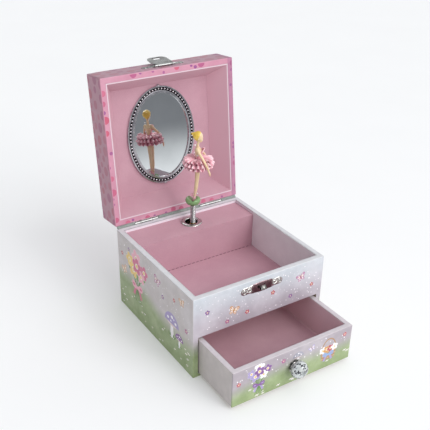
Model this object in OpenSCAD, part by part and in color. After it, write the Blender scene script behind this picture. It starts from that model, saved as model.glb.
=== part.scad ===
// Musical jewellery box: paper-covered boards, a drawer, a lid with an oval mirror, and a wind-up
// movement whose cylinder turns a dancer on a spring post that bends down as the lid closes.
// Drawn with the lid standing open and the drawer pulled out. The origin is the middle of the base.

/* [Box body] */
// Outside width of the box
box_w = 150; // [140:1:185]
// Outside depth of the box
box_d = 152; // [126:1:190]
// Height of the body, without the lid
body_h = 88; // [86:1:115]
// Thickness of the wall boards
board_t = 5.2; // [4:0.1:6.5]
// Thickness of the base board
base_t = 3.4; // [2.5:0.1:5]
// Thickness of the thin boards: compartment floor and drawer floor
thin_t = 2.6; // [2:0.1:4]
// Thickness of the paper and flock linings
lining_t = 0.5; // [0.3:0.1:1]

/* [Music well] */
// Depth of the well behind the compartment, from its front board to the rear wall
well_d = 33.9; // [32:0.1:40]
// Thickness of the well's front board
well_t = 3; // [2:0.1:5]
// Drop from the rim down to the shelf over the well
shelf_drop = 3; // [1:0.5:8]
// Gap at the left end of the shelf, where a finger nail lifts it
shelf_gap = 1.2; // [0.3:0.1:3]

/* [Lid] */
// Outside height of the lid
lid_h = 30; // [28:0.5:40]
// Gap between the closed lid and the rim of the body
lid_gap = 0.6; // [0.3:0.1:1.5]
// Angle at which the lid stands open
lid_open = 96; // [90:1:105]
// Depth of the lid's lined recess
recess_d = 22; // [21.5:0.1:23]
// How far the recess narrows on each side from the rim to its flat
recess_slope = 12.4; // [8:0.1:15]
// Thickness of the recess card
card_t = 1.2; // [0.8:0.1:2]
// Half width of the mirror frame
mirror_a = 39.6; // [25:0.1:41]
// Half height of the mirror frame
mirror_b = 52.2; // [30:0.1:53]
// Width of the mirror frame's band
mirror_band = 7.2; // [5:0.1:9]
// Number of beads on the mirror frame
bead_count = 76; // [40:1:80]

/* [Hinges] */
// Length of each hinge
hinge_len = 27; // [20:0.5:36]
// Distance of each hinge from the middle of the box
hinge_x = 40; // [25:0.5:50]
// Radius of a hinge knuckle
knuckle_r = 1.8; // [1.4:0.05:2.4]
// Radius of a hinge pin
hinge_pin_r = 0.8; // [0.5:0.05:1]

/* [Drawer] */
// Height of the drawer
drawer_h = 38.4; // [28:0.1:38.6]
// Thickness of the drawer's boards
drawer_t = 5; // [3.5:0.1:6]
// How far the drawer stands open
drawer_out = 56; // [20:1:70]
// How far the drawer pulls out beyond that
drawer_more = 34; // [10:1:34]
// Clearance on each side of the drawer
drawer_side_gap = 1.2; // [0.4:0.1:2]
// Clearance over the drawer
drawer_top_gap = 1.8; // [0.6:0.1:4]
// Radius of the crystal knob
knob_r = 8.3; // [6:0.1:11]

/* [Dancer] */
// Sideways place of the spindle, from the middle of the box
spindle_x = 4.5; // [-8:0.5:8]
// Distance from the spindle to the inside of the rear wall
spindle_back = 14.8; // [14:0.1:16]
// Outer radius of the spring post
spring_r = 2.9; // [2.4:0.1:3.4]
// Thickness of the spring wire
wire_d = 1; // [0.7:0.1:1.2]
// Length of the spring post above the shelf
post_h = 21; // [20:0.5:26]
// Angle through which the post bends as the lid closes
post_bend = 102; // [98:0.5:104]
// Height of the dancer from the top of the pad to the crown
dancer_h = 74; // [62:1:80]
// Radius of the skirt
skirt_r = 15.3; // [11:0.1:15.5]
// Direction in which the dancer faces, from the right of the box
facing = -33; // [-180:1:180]

/* [Movement] */
// Radius of the pinned cylinder
cylinder_r = 6.2; // [5:0.1:6.6]
// Number of notes in the comb
note_count = 18; // [12:1:22]
// Distance between the teeth of the comb
note_pitch = 1.1; // [0.9:0.05:1.2]
// Module of the gear teeth
gear_m = 0.5; // [0.45:0.01:0.52]
// Radius of the mainspring barrel
barrel_r = 13; // [12.8:0.1:14]

/* [Fits] */
// Radial clearance of a pin that turns in its bore
turn_gap = 0.06; // [0.02:0.01:0.1]
// Radial clearance of a shank in a clearance hole
hole_gap = 0.1; // [0.05:0.05:0.3]
// Gap between a sliding or loosely set piece and what carries it
seat_gap = 0.3; // [0.1:0.05:0.5]

/* [Hidden] */
$fn = 48;
eps = 0.01;
half_w = box_w / 2;
half_d = box_d / 2;
// Inside faces of the wall boards
in_x = half_w - board_t;
in_y = half_d - board_t;

// Drawer bay and compartment floor
drawer_z = base_t + seat_gap;
bay_top = drawer_z + drawer_h + drawer_top_gap;
floor_z = bay_top + thin_t;
front_lap = 1;
front_bottom = floor_z - front_lap;
lined_floor_z = floor_z + lining_t;

// Well and shelf
well_y = in_y - well_d;
shelf_t = 2.5;
shelf_z = body_h - shelf_drop;
shelf_under = shelf_z - lining_t - shelf_t;
spindle_y = in_y - spindle_back;
ring_x = spindle_x - 1.5;
ring_y = spindle_y + 1;
ring_hole_r = 6.7;
ring_collar_t = 0.8;
ring_flange = 5.1;
ring_h = 1.3;

// Lid hinge axis, and the lid's own levels when it is closed
pin_y = half_d + knuckle_r + 0.4;
pin_z = body_h + lid_gap / 2;
lid_z = body_h + lid_gap;
lid_top_t = 3;
lid_board_h = lid_h - lid_top_t;
recess_z = lid_z + recess_d;
mirror_x = -3;
mirror_y = -3;
// The mirror shrinks where the flat of the recess has no room for its full size
flat_x = in_x - 0.2 - card_t - recess_slope;
flat_y = in_y - 0.2 - card_t - recess_slope;
mirror_out_a = min(mirror_a, flat_x - abs(mirror_x) - 1);
mirror_out_b = min(mirror_b, flat_y - abs(mirror_y) - 1);
frame_t = 3;
glass_t = 1.6;
leaf_t = 0.6;
leaf_h = 11;
leaf_curl = 1.2;
knuckle_gap = 0.1;
middle_share = 0.5;
nail_drop = 7;
nail_x = 8;

// Small nails
nail_r = 0.6;
nail_head_r = 1.6;
nail_head_h = 0.7;
nail_len = 4;

// Latch
plate_t = 0.8;
plate_half = 20;
plate_lobe_r = 3.9;
plate_rise = 12.9;
catch_z = body_h - 9.2;
latch_z = lid_z + plate_rise;
flap_pin_r = 0.5;
flap_knuckle_r = 1.2;
flap_y = -half_d - plate_t - flap_knuckle_r;
flap_z = latch_z - plate_lobe_r - 1.1;
flap_w = 22;
flap_tab = 8;
flap_t = 0.8;
flap_len = 22;
flap_rest = 10;
slot_from = flap_z - catch_z - 2.6;
slot_w = 8;
slot_h = 5.2;
hook_w = 6;
hook_h = 3.2;
hook_out = 3.4;

// Drawer
drawer_half = in_x - drawer_side_gap;
drawer_len = well_y + half_d - 1.6;
drawer_front_y = -half_d - drawer_out;
drawer_back_y = drawer_front_y + drawer_len;
knob_z = drawer_z + drawer_h / 2;
rosette_r = 7;
rosette_t = 1.4;
knob_neck = 3.2;
knob_screw_r = 1.6;
knob_depth = 11;

// Spring post
spring_z = shelf_z - 1.5;
spring_top = shelf_z + post_h;
post_pivot_z = shelf_z + post_h / 2 + 1.5;
spring_hole_r = spring_r - wire_d;
peg_r = spring_hole_r - 0.05;
peg_len = 3.5;

// Dancer, in her own frame: x is the way she faces, z is up from the top of the pad
pad_r = 8;
pad_t = 7;
pad_z = spring_top + pad_t;
size_k = dancer_h / 74;
hip_x = 3.4 * size_k;
waist_x = 4.4 * size_k;
shoe_z = -3.4;

// Movement
cyl_len = note_count * note_pitch + 1.2;
mv_z = shelf_under - 25.5;
cyl_top = mv_z + 10.5;
cyl_bottom = cyl_top - cyl_len;
shaft_r = 0.75;
big_teeth = 30;
small_teeth = 8;
crown_teeth = 48;
worm_teeth = 20;
mesh_gap = 0.1;
big_r = gear_m * big_teeth / 2;
small_r = gear_m * small_teeth / 2;
crown_r = 11.5;
gear_t = 1.6;
gear_z = cyl_top + 0.6;
pinion_z = mv_z - 15.8;
barrel_z = pinion_z + gear_t / 2 - crown_r;
barrel_front = spindle_y + small_r + 0.6;
crown_h = 0.95;
bedplate_t = 2;
bed_y = in_y - bedplate_t;
barrel_back = bed_y - 0.5;
bed_left = spindle_x - 24;
bed_right = spindle_x + 23;
bed_bottom = mv_z - 42;
bed_top = mv_z + 20;
comb_y = spindle_y;
comb_t = 1.2;
pin_out = 0.5;
comb_tip_x = spindle_x - cylinder_r - pin_out - 0.25;
comb_left = spindle_x - 24;
arbor_r = 2;
key_y = half_d + 2.2;
screw_r = 1.3;
bed_screws = [[-19, -35], [19, -35], [14, 2]];
wheel_x = spindle_x + big_r + small_r + mesh_gap;
worm_r = 0.9;
worm_wave = 0.4;
worm_wheel_r = gear_m * worm_teeth / 2;
worm_x = wheel_x + worm_wheel_r + worm_r + 0.05;
wheel_z = gear_z + gear_t + 1.0;
worm_z = wheel_z + 0.7;
fan_r = 4.3;
gov_low = gear_z - 2.6;
gov_high = wheel_z + 2.9;
gov_t = 1.4;

// ---------- placing ----------

// Box from one corner to the opposite corner
module block(low, high) {
    translate(low) cube([high[0] - low[0], high[1] - low[1], high[2] - low[2]]);
}

// Children drawn on the closed lid, swung up to where the lid stands open
module on_lid() {
    translate([0, pin_y, pin_z]) rotate([-lid_open, 0, 0]) translate([0, -pin_y, -pin_z]) children();
}

// Children drawn along +Z, laid along -Y from the given point
module facing_front(x, y, z) {
    translate([x, y, z]) rotate([90, 0, 0]) children();
}

// Children drawn along +Z, laid along +Y from the given point
module facing_back(x, y, z) {
    translate([x, y, z]) rotate([-90, 0, 0]) children();
}

module on_spindle(z) {
    translate([spindle_x, spindle_y, z]) children();
}

module on_dancer() {
    translate([spindle_x, spindle_y, pad_z]) rotate([0, 0, facing]) children();
}

// ---------- fasteners ----------

// Dome-headed nail with its head's seat at z = 0
module nail() {
    r = nail_head_r;
    h = nail_head_h;
    rotate_extrude() polygon([[0, -nail_len], [nail_r, -nail_len], [nail_r, 0], [r, 0], [r * 0.96, h * 0.3],
        [r * 0.8, h * 0.65], [r * 0.5, h * 0.92], [0, h]]);
}

module nail_bore() {
    translate([0, 0, -nail_len - 0.3]) cylinder(r = nail_r + hole_gap, h = nail_len + 3);
}

module at_body_leaf_nails() {
    for (side = [-1, 1], end = [-1, 1])
        facing_back(side * hinge_x + end * nail_x, half_d + leaf_t, pin_z - nail_drop) children();
}

module at_lid_leaf_nails() {
    for (side = [-1, 1], end = [-1, 1])
        facing_back(side * hinge_x + end * nail_x, half_d + leaf_t, pin_z + nail_drop) children();
}

module at_catch_nails() {
    for (end = [-1, 1])
        facing_front(end * plate_half, -half_d - plate_t, catch_z) children();
}

module at_latch_nails() {
    for (end = [-1, 1])
        facing_front(end * plate_half, -half_d - plate_t, latch_z) children();
}

module at_bed_screws() {
    for (p = bed_screws) facing_back(spindle_x + p[0], half_d, mv_z + p[1]) children();
}

// ---------- box body ----------

module side_wall(side) {
    color("lavenderblush")
        block([side > 0 ? in_x : -half_w, -half_d, 0], [side > 0 ? half_w : -in_x, half_d, body_h]);
}

module front_wall() {
    color("lavenderblush") difference() {
        block([-in_x, -half_d, front_bottom], [in_x, -in_y, body_h]);
        at_catch_nails() nail_bore();
    }
}

module rear_wall() {
    color("lavenderblush") difference() {
        block([-in_x, in_y, 0], [in_x, half_d, body_h]);
        at_body_leaf_nails() nail_bore();
        at_bed_screws() translate([0, 0, -board_t - 1]) cylinder(r = screw_r + hole_gap, h = board_t + 2);
        facing_back(spindle_x, in_y - 1, barrel_z) cylinder(r = arbor_r * 2, h = board_t + 2);
    }
}

module base_board() {
    color("palegreen") block([-in_x, -half_d, 0], [in_x, in_y, base_t]);
}

module compartment_floor() {
    color("tan") block([-in_x, -in_y, bay_top], [in_x, well_y, floor_z]);
}

module well_board() {
    color("tan") block([-in_x, well_y, base_t], [in_x, well_y + well_t, shelf_under]);
}

module shelf_board() {
    color("tan") difference() {
        block([-in_x + shelf_gap, well_y, shelf_under], [in_x - seat_gap, in_y, shelf_z - lining_t]);
        translate([ring_x, ring_y, shelf_under - 1])
            cylinder(r = ring_hole_r + ring_collar_t + seat_gap, h = shelf_t + 2);
    }
}

// One folded sheet over the top and the front of the shelf
module shelf_lining() {
    x0 = -in_x + shelf_gap;
    x1 = in_x - seat_gap;
    color("palevioletred") difference() {
        union() {
            block([x0, well_y - lining_t, shelf_z - lining_t], [x1, in_y, shelf_z]);
            block([x0, well_y - lining_t, lined_floor_z], [x1, well_y, shelf_z - lining_t + eps]);
        }
        translate([ring_x, ring_y, shelf_z - 1]) cylinder(r = ring_hole_r + ring_collar_t + seat_gap, h = 2);
    }
}

module floor_lining() {
    color("palevioletred")
        block([-in_x, -in_y, floor_z], [in_x, well_y, lined_floor_z]);
}

// Pale paper on the left, right and front walls of the compartment
module wall_lining() {
    y1 = well_y - lining_t;
    color("thistle") {
        block([-in_x, -in_y + lining_t, lined_floor_z], [-in_x + lining_t, y1, body_h]);
        block([in_x - lining_t, -in_y + lining_t, lined_floor_z], [in_x, y1, body_h]);
        block([-in_x, -in_y, lined_floor_z], [in_x, -in_y + lining_t, body_h]);
    }
}

// Pressed bezel round the spindle's hole: a rolled flange and a collar
module shelf_ring() {
    flange_r = ring_hole_r + ring_flange;
    color("silver") translate([ring_x, ring_y, shelf_z]) rotate_extrude() {
        difference() {
            translate([ring_hole_r + ring_flange / 2, 0])
                scale([ring_flange / 2 / ring_h, 1]) circle(r = ring_h);
            translate([0, -5]) square([flange_r + 5, 5]);
        }
        translate([ring_hole_r, -shelf_t - lining_t]) square([ring_collar_t, shelf_t + lining_t + 0.3]);
    }
}

// ---------- lid hinges ----------

// Half of a three-knuckle butt hinge on the rear faces, drawn for the closed lid.
// way is -1 for the leaf on the body and +1 for the leaf on the lid.
module hinge_leaf(side, way) {
    middle = hinge_len * middle_share;
    own = way > 0 ? [[-middle / 2 + knuckle_gap, middle / 2 - knuckle_gap]]
        : [[-hinge_len / 2, -middle / 2 - knuckle_gap], [middle / 2 + knuckle_gap, hinge_len / 2]];
    clear = knuckle_r + 0.3;
    color("silver") translate([side * hinge_x, 0, 0]) difference() {
        union() {
            block([-hinge_len / 2, half_d, way > 0 ? pin_z + clear : pin_z - leaf_h],
                [hinge_len / 2, half_d + leaf_t, way > 0 ? pin_z + leaf_h : pin_z - clear]);
            for (span = own) {
                translate([span[0], pin_y, pin_z]) rotate([0, 90, 0])
                    cylinder(r = knuckle_r, h = span[1] - span[0]);
                block([span[0], half_d, way > 0 ? pin_z + lid_gap / 2 : pin_z - clear - eps],
                    [span[1], half_d + leaf_curl, way > 0 ? pin_z + clear + eps : pin_z - lid_gap / 2]);
            }
        }
        translate([-hinge_len, pin_y, pin_z]) rotate([0, 90, 0])
            cylinder(r = hinge_pin_r + turn_gap, h = 2 * hinge_len);
        for (end = [-1, 1])
            facing_back(end * nail_x, half_d + leaf_t, pin_z + way * nail_drop) nail_bore();
    }
}

module hinge_pin(side) {
    color("gainsboro") translate([side * hinge_x - hinge_len / 2 - 0.2, pin_y, pin_z]) rotate([0, 90, 0])
        cylinder(r = hinge_pin_r, h = hinge_len + 0.4);
}

module body_leaf_nails() {
    color("silver") at_body_leaf_nails() nail();
}

module lid_leaf_nails() {
    color("silver") on_lid() at_lid_leaf_nails() nail();
}

// ---------- lid ----------

module lid_side(side) {
    color("hotpink") on_lid()
        block([side > 0 ? in_x : -half_w, -half_d, lid_z],
            [side > 0 ? half_w : -in_x, half_d, lid_z + lid_board_h]);
}

module lid_front() {
    color("hotpink") on_lid() difference() {
        block([-in_x, -half_d, lid_z], [in_x, -in_y, lid_z + lid_board_h]);
        at_latch_nails() nail_bore();
    }
}

module lid_rear() {
    color("hotpink") on_lid() difference() {
        block([-in_x, in_y, lid_z], [in_x, half_d, lid_z + lid_board_h]);
        at_lid_leaf_nails() nail_bore();
    }
}

module lid_top() {
    color("hotpink") on_lid()
        block([-half_w, -half_d, lid_z + lid_board_h], [half_w, half_d, lid_z + lid_h]);
}

// Straight-sided hopper: a rectangle at z0 that narrows evenly to a smaller one at z1
module hopper(x0, y0, x1, y1, z0, z1) {
    far = 2 * box_d;
    intersection() {
        rotate([90, 0, 0]) translate([0, 0, -far]) linear_extrude(2 * far)
            polygon([[-x0, z0], [x0, z0], [x1, z1], [-x1, z1]]);
        rotate([90, 0, 90]) translate([0, 0, -far]) linear_extrude(2 * far)
            polygon([[-y0, z0], [y0, z0], [y1, z1], [-y1, z1]]);
    }
}

// Flocked card folded into a tray with sloping sides, set into the lid
module lid_recess() {
    edge = 0.2;
    xo = in_x - edge;
    yo = in_y - edge;
    k = recess_slope / recess_d;
    depth = recess_d + card_t;
    color("palevioletred") on_lid() difference() {
        hopper(xo, yo, xo - k * depth, yo - k * depth, lid_z, lid_z + depth);
        hopper(xo - card_t + k, yo - card_t + k, xo - card_t - k * recess_d, yo - card_t - k * recess_d,
            lid_z - 1, recess_z);
    }
}

function ellipse_points(a, b, n) = [for (i = [0:n - 1]) [a * cos(360 * i / n), b * sin(360 * i / n)]];

// Even steps along the ellipse, so that beads sit at equal distances
function ellipse_angle(a, b, share, t = 0, gone = 0, whole = 0) =
    let (step = norm([a * (cos(t + 2) - cos(t)), b * (sin(t + 2) - sin(t))]))
    t >= 360 || (gone + step) / whole > share ? t + 2 * (share * whole - gone) / max(step, eps)
    : ellipse_angle(a, b, share, t + 2, gone + step, whole);

function ellipse_round(a, b, t = 0) =
    t >= 360 ? 0 : norm([a * (cos(t + 2) - cos(t)), b * (sin(t + 2) - sin(t))]) + ellipse_round(a, b, t + 2);

module ellipse_band(a_out, b_out, a_in, b_in, z0, z1) {
    translate([0, 0, z0]) linear_extrude(z1 - z0) difference() {
        polygon(ellipse_points(a_out, b_out, 72));
        polygon(ellipse_points(a_in, b_in, 72));
    }
}

// Children drawn with +Z towards the viewer, on the flat of the lid's recess
module on_recess() {
    on_lid() translate([mirror_x, mirror_y, recess_z]) rotate([180, 0, 0]) children();
}

module mirror_glass() {
    a = mirror_out_a - mirror_band + 0.8;
    b = mirror_out_b - mirror_band + 0.8;
    color("lightcyan") on_recess() linear_extrude(glass_t) polygon(ellipse_points(a, b, 72));
}

// Pressed frame: an outer lip, a bed with a row of beads, and an inner bevel over the glass
module mirror_frame() {
    a = mirror_out_a;
    b = mirror_out_b;
    band = mirror_band;
    bead_in = 3;
    bead_r = 1.15;
    whole = ellipse_round(a - bead_in, b - bead_in);
    beads = min(bead_count, floor(whole / 3.3));
    color("silver") on_recess() {
        ellipse_band(a, b, a - 1.4, b - 1.4, 0, 2.4);
        ellipse_band(a - 1.3, b - 1.3, a - band + 1, b - band + 1, 0, 1.7);
        ellipse_band(a - 5, b - 5, a - band, b - band, glass_t + 0.05, frame_t);
        for (i = [0:beads - 1]) {
            t = ellipse_angle(a - bead_in, b - bead_in, i / beads, 0, 0, whole);
            translate([(a - bead_in) * cos(t), (b - bead_in) * sin(t), 1.75]) sphere(r = bead_r, $fn = 24);
        }
        for (end = [-1, 1]) {
            translate([0, end * (b - 0.2), 0]) cylinder(r = 1.7, h = 2.05, $fn = 24);
            translate([0, end * (b + 0.1), 1.9]) sphere(r = 1.05, $fn = 24);
        }
    }
}

// ---------- latch ----------

// Outline shared by the plate on the lid and the plate on the body
module plate_outline() {
    circle(r = plate_lobe_r + 1.1);
    square([2 * plate_half, plate_lobe_r * 1.5], center = true);
    for (end = [-1, 1]) {
        translate([end * plate_half, 0]) circle(r = plate_lobe_r);
        translate([end * plate_half * 0.72, 0]) circle(r = plate_lobe_r * 0.95);
        translate([end * plate_half * 0.4, 0]) circle(r = plate_lobe_r * 1.15);
    }
}

// Pressed relief of a plate's two ends: a ring round the nail, a beaded edge and a scroll towards the middle
module plate_relief() {
    ring_r = nail_head_r + 0.75;
    bead_r = 0.42;
    for (end = [-1, 1]) {
        translate([end * plate_half, 0, plate_t])
            rotate_extrude() translate([ring_r, 0]) circle(r = 0.45, $fn = 20);
        for (k = [-3:3]) rotate(end > 0 ? 0 : 180) translate([plate_half, 0, plate_t]) rotate(32 * k)
            translate([plate_lobe_r - 0.6, 0, 0]) sphere(r = bead_r, $fn = 16);
        for (side = [-1, 1], k = [0:2]) {
            translate([end * (plate_half * 0.62 - k * 1.25), side * (plate_lobe_r - 0.75), plate_t])
                sphere(r = bead_r + 0.12 - 0.06 * k, $fn = 16);
            translate([end * (plate_half * 0.82 - k * 1.5), side * (1.2 - 0.3 * k), plate_t])
                sphere(r = 0.75 - 0.14 * k, $fn = 16);
        }
    }
}

// Plate on the body with its raised catch, a bent strap that stands off the plate
module catch_plate() {
    color("silver") difference() {
        union() {
            facing_front(0, -half_d, catch_z) linear_extrude(plate_t) plate_outline();
            facing_front(0, -half_d, catch_z) plate_relief();
            translate([-hook_w / 2, -half_d - plate_t, catch_z]) rotate([90, 0, 90])
                linear_extrude(hook_w) polygon([[eps, -hook_h / 2], [-hook_out, -hook_h / 2 - 0.6],
                    [-hook_out, -hook_h / 2 + 0.4], [-0.9, hook_h / 2], [eps, hook_h / 2]]);
        }
        at_catch_nails() nail_bore();
    }
}

module catch_nails() {
    color("gainsboro") at_catch_nails() nail();
}

// Plate on the lid, with two end knuckles for the flap along its lower edge
module latch_plate() {
    color("silver") on_lid() difference() {
        union() {
            facing_front(0, -half_d, latch_z) linear_extrude(plate_t) plate_outline();
            facing_front(0, -half_d, latch_z) plate_relief();
            for (end = [-1, 1]) {
                x = end * (flap_tab + 1.8);
                translate([x - 1.6, flap_y, flap_z]) rotate([0, 90, 0]) cylinder(r = flap_knuckle_r, h = 3.2);
                block([x - 1.6, -half_d - plate_t, flap_z - 0.3], [x + 1.6, -half_d, latch_z - 2]);
                block([x - 1.6, flap_y, flap_z], [x + 1.6, -half_d - plate_t + eps, flap_z + flap_knuckle_r]);
            }
        }
        translate([-20, flap_y, flap_z]) rotate([0, 90, 0]) cylinder(r = flap_pin_r + turn_gap, h = 40);
        at_latch_nails() nail_bore();
        block([-flap_tab, -half_d - plate_t - 3, flap_z - 3], [flap_tab, -half_d + 1, flap_z + 1.5]);
    }
}

module latch_nails() {
    color("gainsboro") on_lid() at_latch_nails() nail();
}

module latch_pin() {
    reach = flap_tab + 3.4;
    color("gainsboro") on_lid() translate([-reach, flap_y, flap_z]) rotate([0, 90, 0])
        cylinder(r = flap_pin_r, h = 2 * reach);
}

// Hinged flap, drawn hanging from its pin and then swung up and back; its slot drops over the catch
module latch_flap() {
    tip_r = 6;
    color("silver") on_lid() translate([0, flap_y, flap_z]) rotate([-180 + flap_rest, 0, 0]) difference() {
        union() {
            translate([-flap_tab + 0.1, 0, 0]) rotate([0, 90, 0])
                cylinder(r = flap_knuckle_r, h = 2 * flap_tab - 0.2);
            rotate([90, 0, 0]) translate([0, 0, -flap_t / 2]) linear_extrude(flap_t) {
                translate([-flap_tab + 0.1, -5]) square([2 * flap_tab - 0.2, 5]);
                translate([-flap_w / 2, -flap_len + tip_r]) square([flap_w, flap_len - tip_r - 4]);
                for (end = [-1, 1])
                    translate([end * (flap_w / 2 - tip_r), -flap_len + tip_r]) circle(r = tip_r);
                translate([-flap_w / 2 + tip_r, -flap_len]) square([flap_w - 2 * tip_r, tip_r]);
            }
        }
        translate([-20, 0, 0]) rotate([0, 90, 0]) cylinder(r = flap_pin_r + turn_gap, h = 40);
        translate([-slot_w / 2, -5, -slot_from - slot_h]) cube([slot_w, 10, slot_h]);
    }
}

// ---------- drawer ----------

module drawer_front() {
    color("lavenderblush") difference() {
        block([-drawer_half, drawer_front_y, drawer_z],
            [drawer_half, drawer_front_y + drawer_t, drawer_z + drawer_h]);
        facing_front(0, drawer_front_y + drawer_t + 1, knob_z)
            cylinder(r = knob_screw_r + hole_gap, h = drawer_t + 2);
    }
}

module drawer_side(side) {
    x0 = side > 0 ? drawer_half - drawer_t : -drawer_half;
    color("whitesmoke")
        block([x0, drawer_front_y + drawer_t, drawer_z], [x0 + drawer_t, drawer_back_y, drawer_z + drawer_h]);
}

module drawer_back() {
    x = drawer_half - drawer_t;
    color("whitesmoke")
        block([-x, drawer_back_y - drawer_t, drawer_z], [x, drawer_back_y, drawer_z + drawer_h]);
}

module drawer_floor() {
    x = drawer_half - drawer_t;
    color("tan")
        block([-x, drawer_front_y + drawer_t, drawer_z],
            [x, drawer_back_y - drawer_t, drawer_z + thin_t]);
}

// Lining folded up from one sheet, with a hole for the head of the knob's screw
module drawer_lining() {
    x = drawer_half - drawer_t;
    y0 = drawer_front_y + drawer_t;
    y1 = drawer_back_y - drawer_t;
    z0 = drawer_z + thin_t;
    z1 = drawer_z + drawer_h - seat_gap;
    color("palevioletred") difference() {
        block([-x, y0, z0], [x, y1, z1]);
        block([-x + lining_t, y0 + lining_t, z0 + lining_t], [x - lining_t, y1 - lining_t, z1 + 1]);
        facing_front(0, y0 + 2, knob_z) cylinder(r = knob_screw_r + 2.6, h = 4);
    }
}

// Cut stone with its table at the top: each ring of corners sits half a step round from the one below
module cut_stone(r, h) {
    n = 12;
    rings = [[0.5, 0], [0.86, 0.2], [1, 0.44], [0.97, 0.62], [0.84, 0.8], [0.62, 0.93], [0.36, 1]];
    last = len(rings) - 1;
    points = [for (i = [0:last], k = [0:n - 1]) let (a = 360 / n * (k + (i % 2) / 2))
        [r * rings[i][0] * cos(a), r * rings[i][0] * sin(a), h * rings[i][1]]];
    function at(i, k) = i * n + k % n;
    sides = [for (i = [0:last - 1], k = [0:n - 1]) let (low = i % 2 == 0 ? at(i + 1, k) : at(i + 1, k + 1))
        [at(i, k), low, at(i, k + 1)]];
    gaps = [for (i = [0:last - 1], k = [0:n - 1]) i % 2 == 0
        ? [at(i, k + 1), at(i + 1, k), at(i + 1, k + 1)]
        : [at(i, k), at(i + 1, k), at(i + 1, k + 1)]];
    base = [for (k = [0:n - 1]) k];
    table = [for (k = [0:n - 1]) at(last, n - 1 - k)];
    polyhedron(points, concat([base], sides, gaps, [table]));
}

// Cut-crystal knob: a twelve-sided crown and pavilion on a round neck
module crystal_knob() {
    r = knob_r;
    facing_front(0, drawer_front_y - rosette_t, knob_z) color("white") difference() {
        union() {
            cylinder(r = r * 0.42, h = knob_neck + 0.5);
            translate([0, 0, knob_neck]) cut_stone(r, knob_depth);
        }
        translate([0, 0, -1]) cylinder(r = knob_screw_r + hole_gap, h = knob_neck + knob_depth * 0.5 + 1);
    }
}

// Scalloped metal washer behind the knob
module knob_rosette() {
    petals = 8;
    color("silver") facing_front(0, drawer_front_y, knob_z) difference() {
        union() {
            linear_extrude(rosette_t * 0.6) {
                circle(r = rosette_r * 0.72);
                for (i = [0:petals - 1]) rotate(360 / petals * i)
                    translate([rosette_r * 0.72, 0]) circle(r = rosette_r * 0.28);
            }
            cylinder(r1 = rosette_r * 0.66, r2 = rosette_r * 0.5, h = rosette_t);
        }
        translate([0, 0, -1]) cylinder(r = knob_screw_r + hole_gap, h = rosette_t + 2);
    }
}

module knob_screw() {
    head_y = drawer_front_y + drawer_t;
    color("gainsboro") facing_front(0, head_y, knob_z) {
        cylinder(r = knob_screw_r, h = drawer_t + rosette_t + knob_neck + knob_depth * 0.45);
        difference() {
            translate([0, 0, -1.6]) cylinder(r1 = knob_screw_r + 1.4, r2 = knob_screw_r + 1.9, h = 1.6);
            block([-5, -0.4, -2], [5, 0.4, -1]);
        }
    }
}

// ---------- gears ----------

// Straight-flanked gear outline, thin enough at the pitch circle to run with backlash.
// fat is the share of the pitch that a tooth fills there.
module gear_outline(teeth, m, up = 0.8, down = 1.15, fat = 0.4, tip = 0.22) {
    r = m * teeth / 2;
    pitch = PI * m;
    half = 180 / PI / r;
    difference() {
        union() {
            circle(r = r - down * m);
            for (i = [0:teeth - 1]) rotate(360 / teeth * i) polygon([
                [r - down * m - 0.2, -pitch * fat / 2 - 0.06], [r, -pitch * fat / 2],
                [r + up * m, -pitch * tip / 2], [r + up * m, pitch * tip / 2],
                [r, pitch * fat / 2], [r - down * m - 0.2, pitch * fat / 2 + 0.06]]);
        }
    }
}

// ---------- movement: what stands still ----------

// Cast plate against the rear wall, with the lugs that carry the cylinder and the seat of the comb
module bedplate() {
    lug_t = 2.2;
    lug_top = gear_z + gear_t + 0.8;
    lug_low = pinion_z - 0.8 - lug_t;
    arm_x = spindle_x - barrel_r - 4;
    color("darkgray") difference() {
        union() {
            block([bed_left, bed_y, bed_bottom], [bed_right, in_y, bed_top]);
            block([spindle_x - 3, spindle_y, lug_top], [spindle_x + 3, bed_y + eps, lug_top + lug_t]);
            on_spindle(lug_top) cylinder(r = 3, h = lug_t);
            block([arm_x, spindle_y - 2.4, lug_low], [arm_x + 3, bed_y + eps, lug_low + lug_t + 3]);
            block([arm_x, spindle_y - 2.4, lug_low], [spindle_x, spindle_y + 1.4, lug_low + lug_t]);
            on_spindle(lug_low) cylinder(r = 2.2, h = lug_t);
            block([comb_left, comb_y + comb_t, cyl_bottom], [comb_left + 7, bed_y + eps, cyl_top]);
        }
        on_spindle(lug_low + 0.6) cylinder(r = shaft_r + turn_gap, h = lug_t);
        on_spindle(lug_top - 1) cylinder(r = shaft_r + turn_gap, h = lug_t + 2);
        facing_back(spindle_x, bed_y - 1, barrel_z) cylinder(r = arbor_r + turn_gap, h = bedplate_t + 2);
        at_bed_screws() translate([0, 0, -board_t - bedplate_t - 1]) cylinder(r = screw_r + 0.05, h = 4);
        for (z = [-6, 6]) facing_back(comb_left + 3.5, comb_y, mv_z + z)
            cylinder(r = 1.1 + 0.05, h = 8);
    }
}

// Steel comb: one tooth to a note, the low notes at the bottom with the longest teeth
module comb() {
    slot = 0.35;
    width = note_count * note_pitch;
    z0 = (cyl_top + cyl_bottom) / 2 - width / 2;
    heel = 8;
    color("silver") difference() {
        block([comb_left, comb_y, z0], [comb_tip_x, comb_y + comb_t, z0 + width]);
        for (i = [1:note_count - 1])
            block([comb_left + heel + i * 0.22, comb_y - 1, z0 + i * note_pitch - slot / 2],
                [comb_tip_x + 1, comb_y + comb_t + 1, z0 + i * note_pitch + slot / 2]);
        for (z = [-6, 6]) facing_back(comb_left + 3.5, comb_y - 1, mv_z + z)
            cylinder(r = 1.1 + hole_gap, h = comb_t + 2);
    }
}

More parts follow.
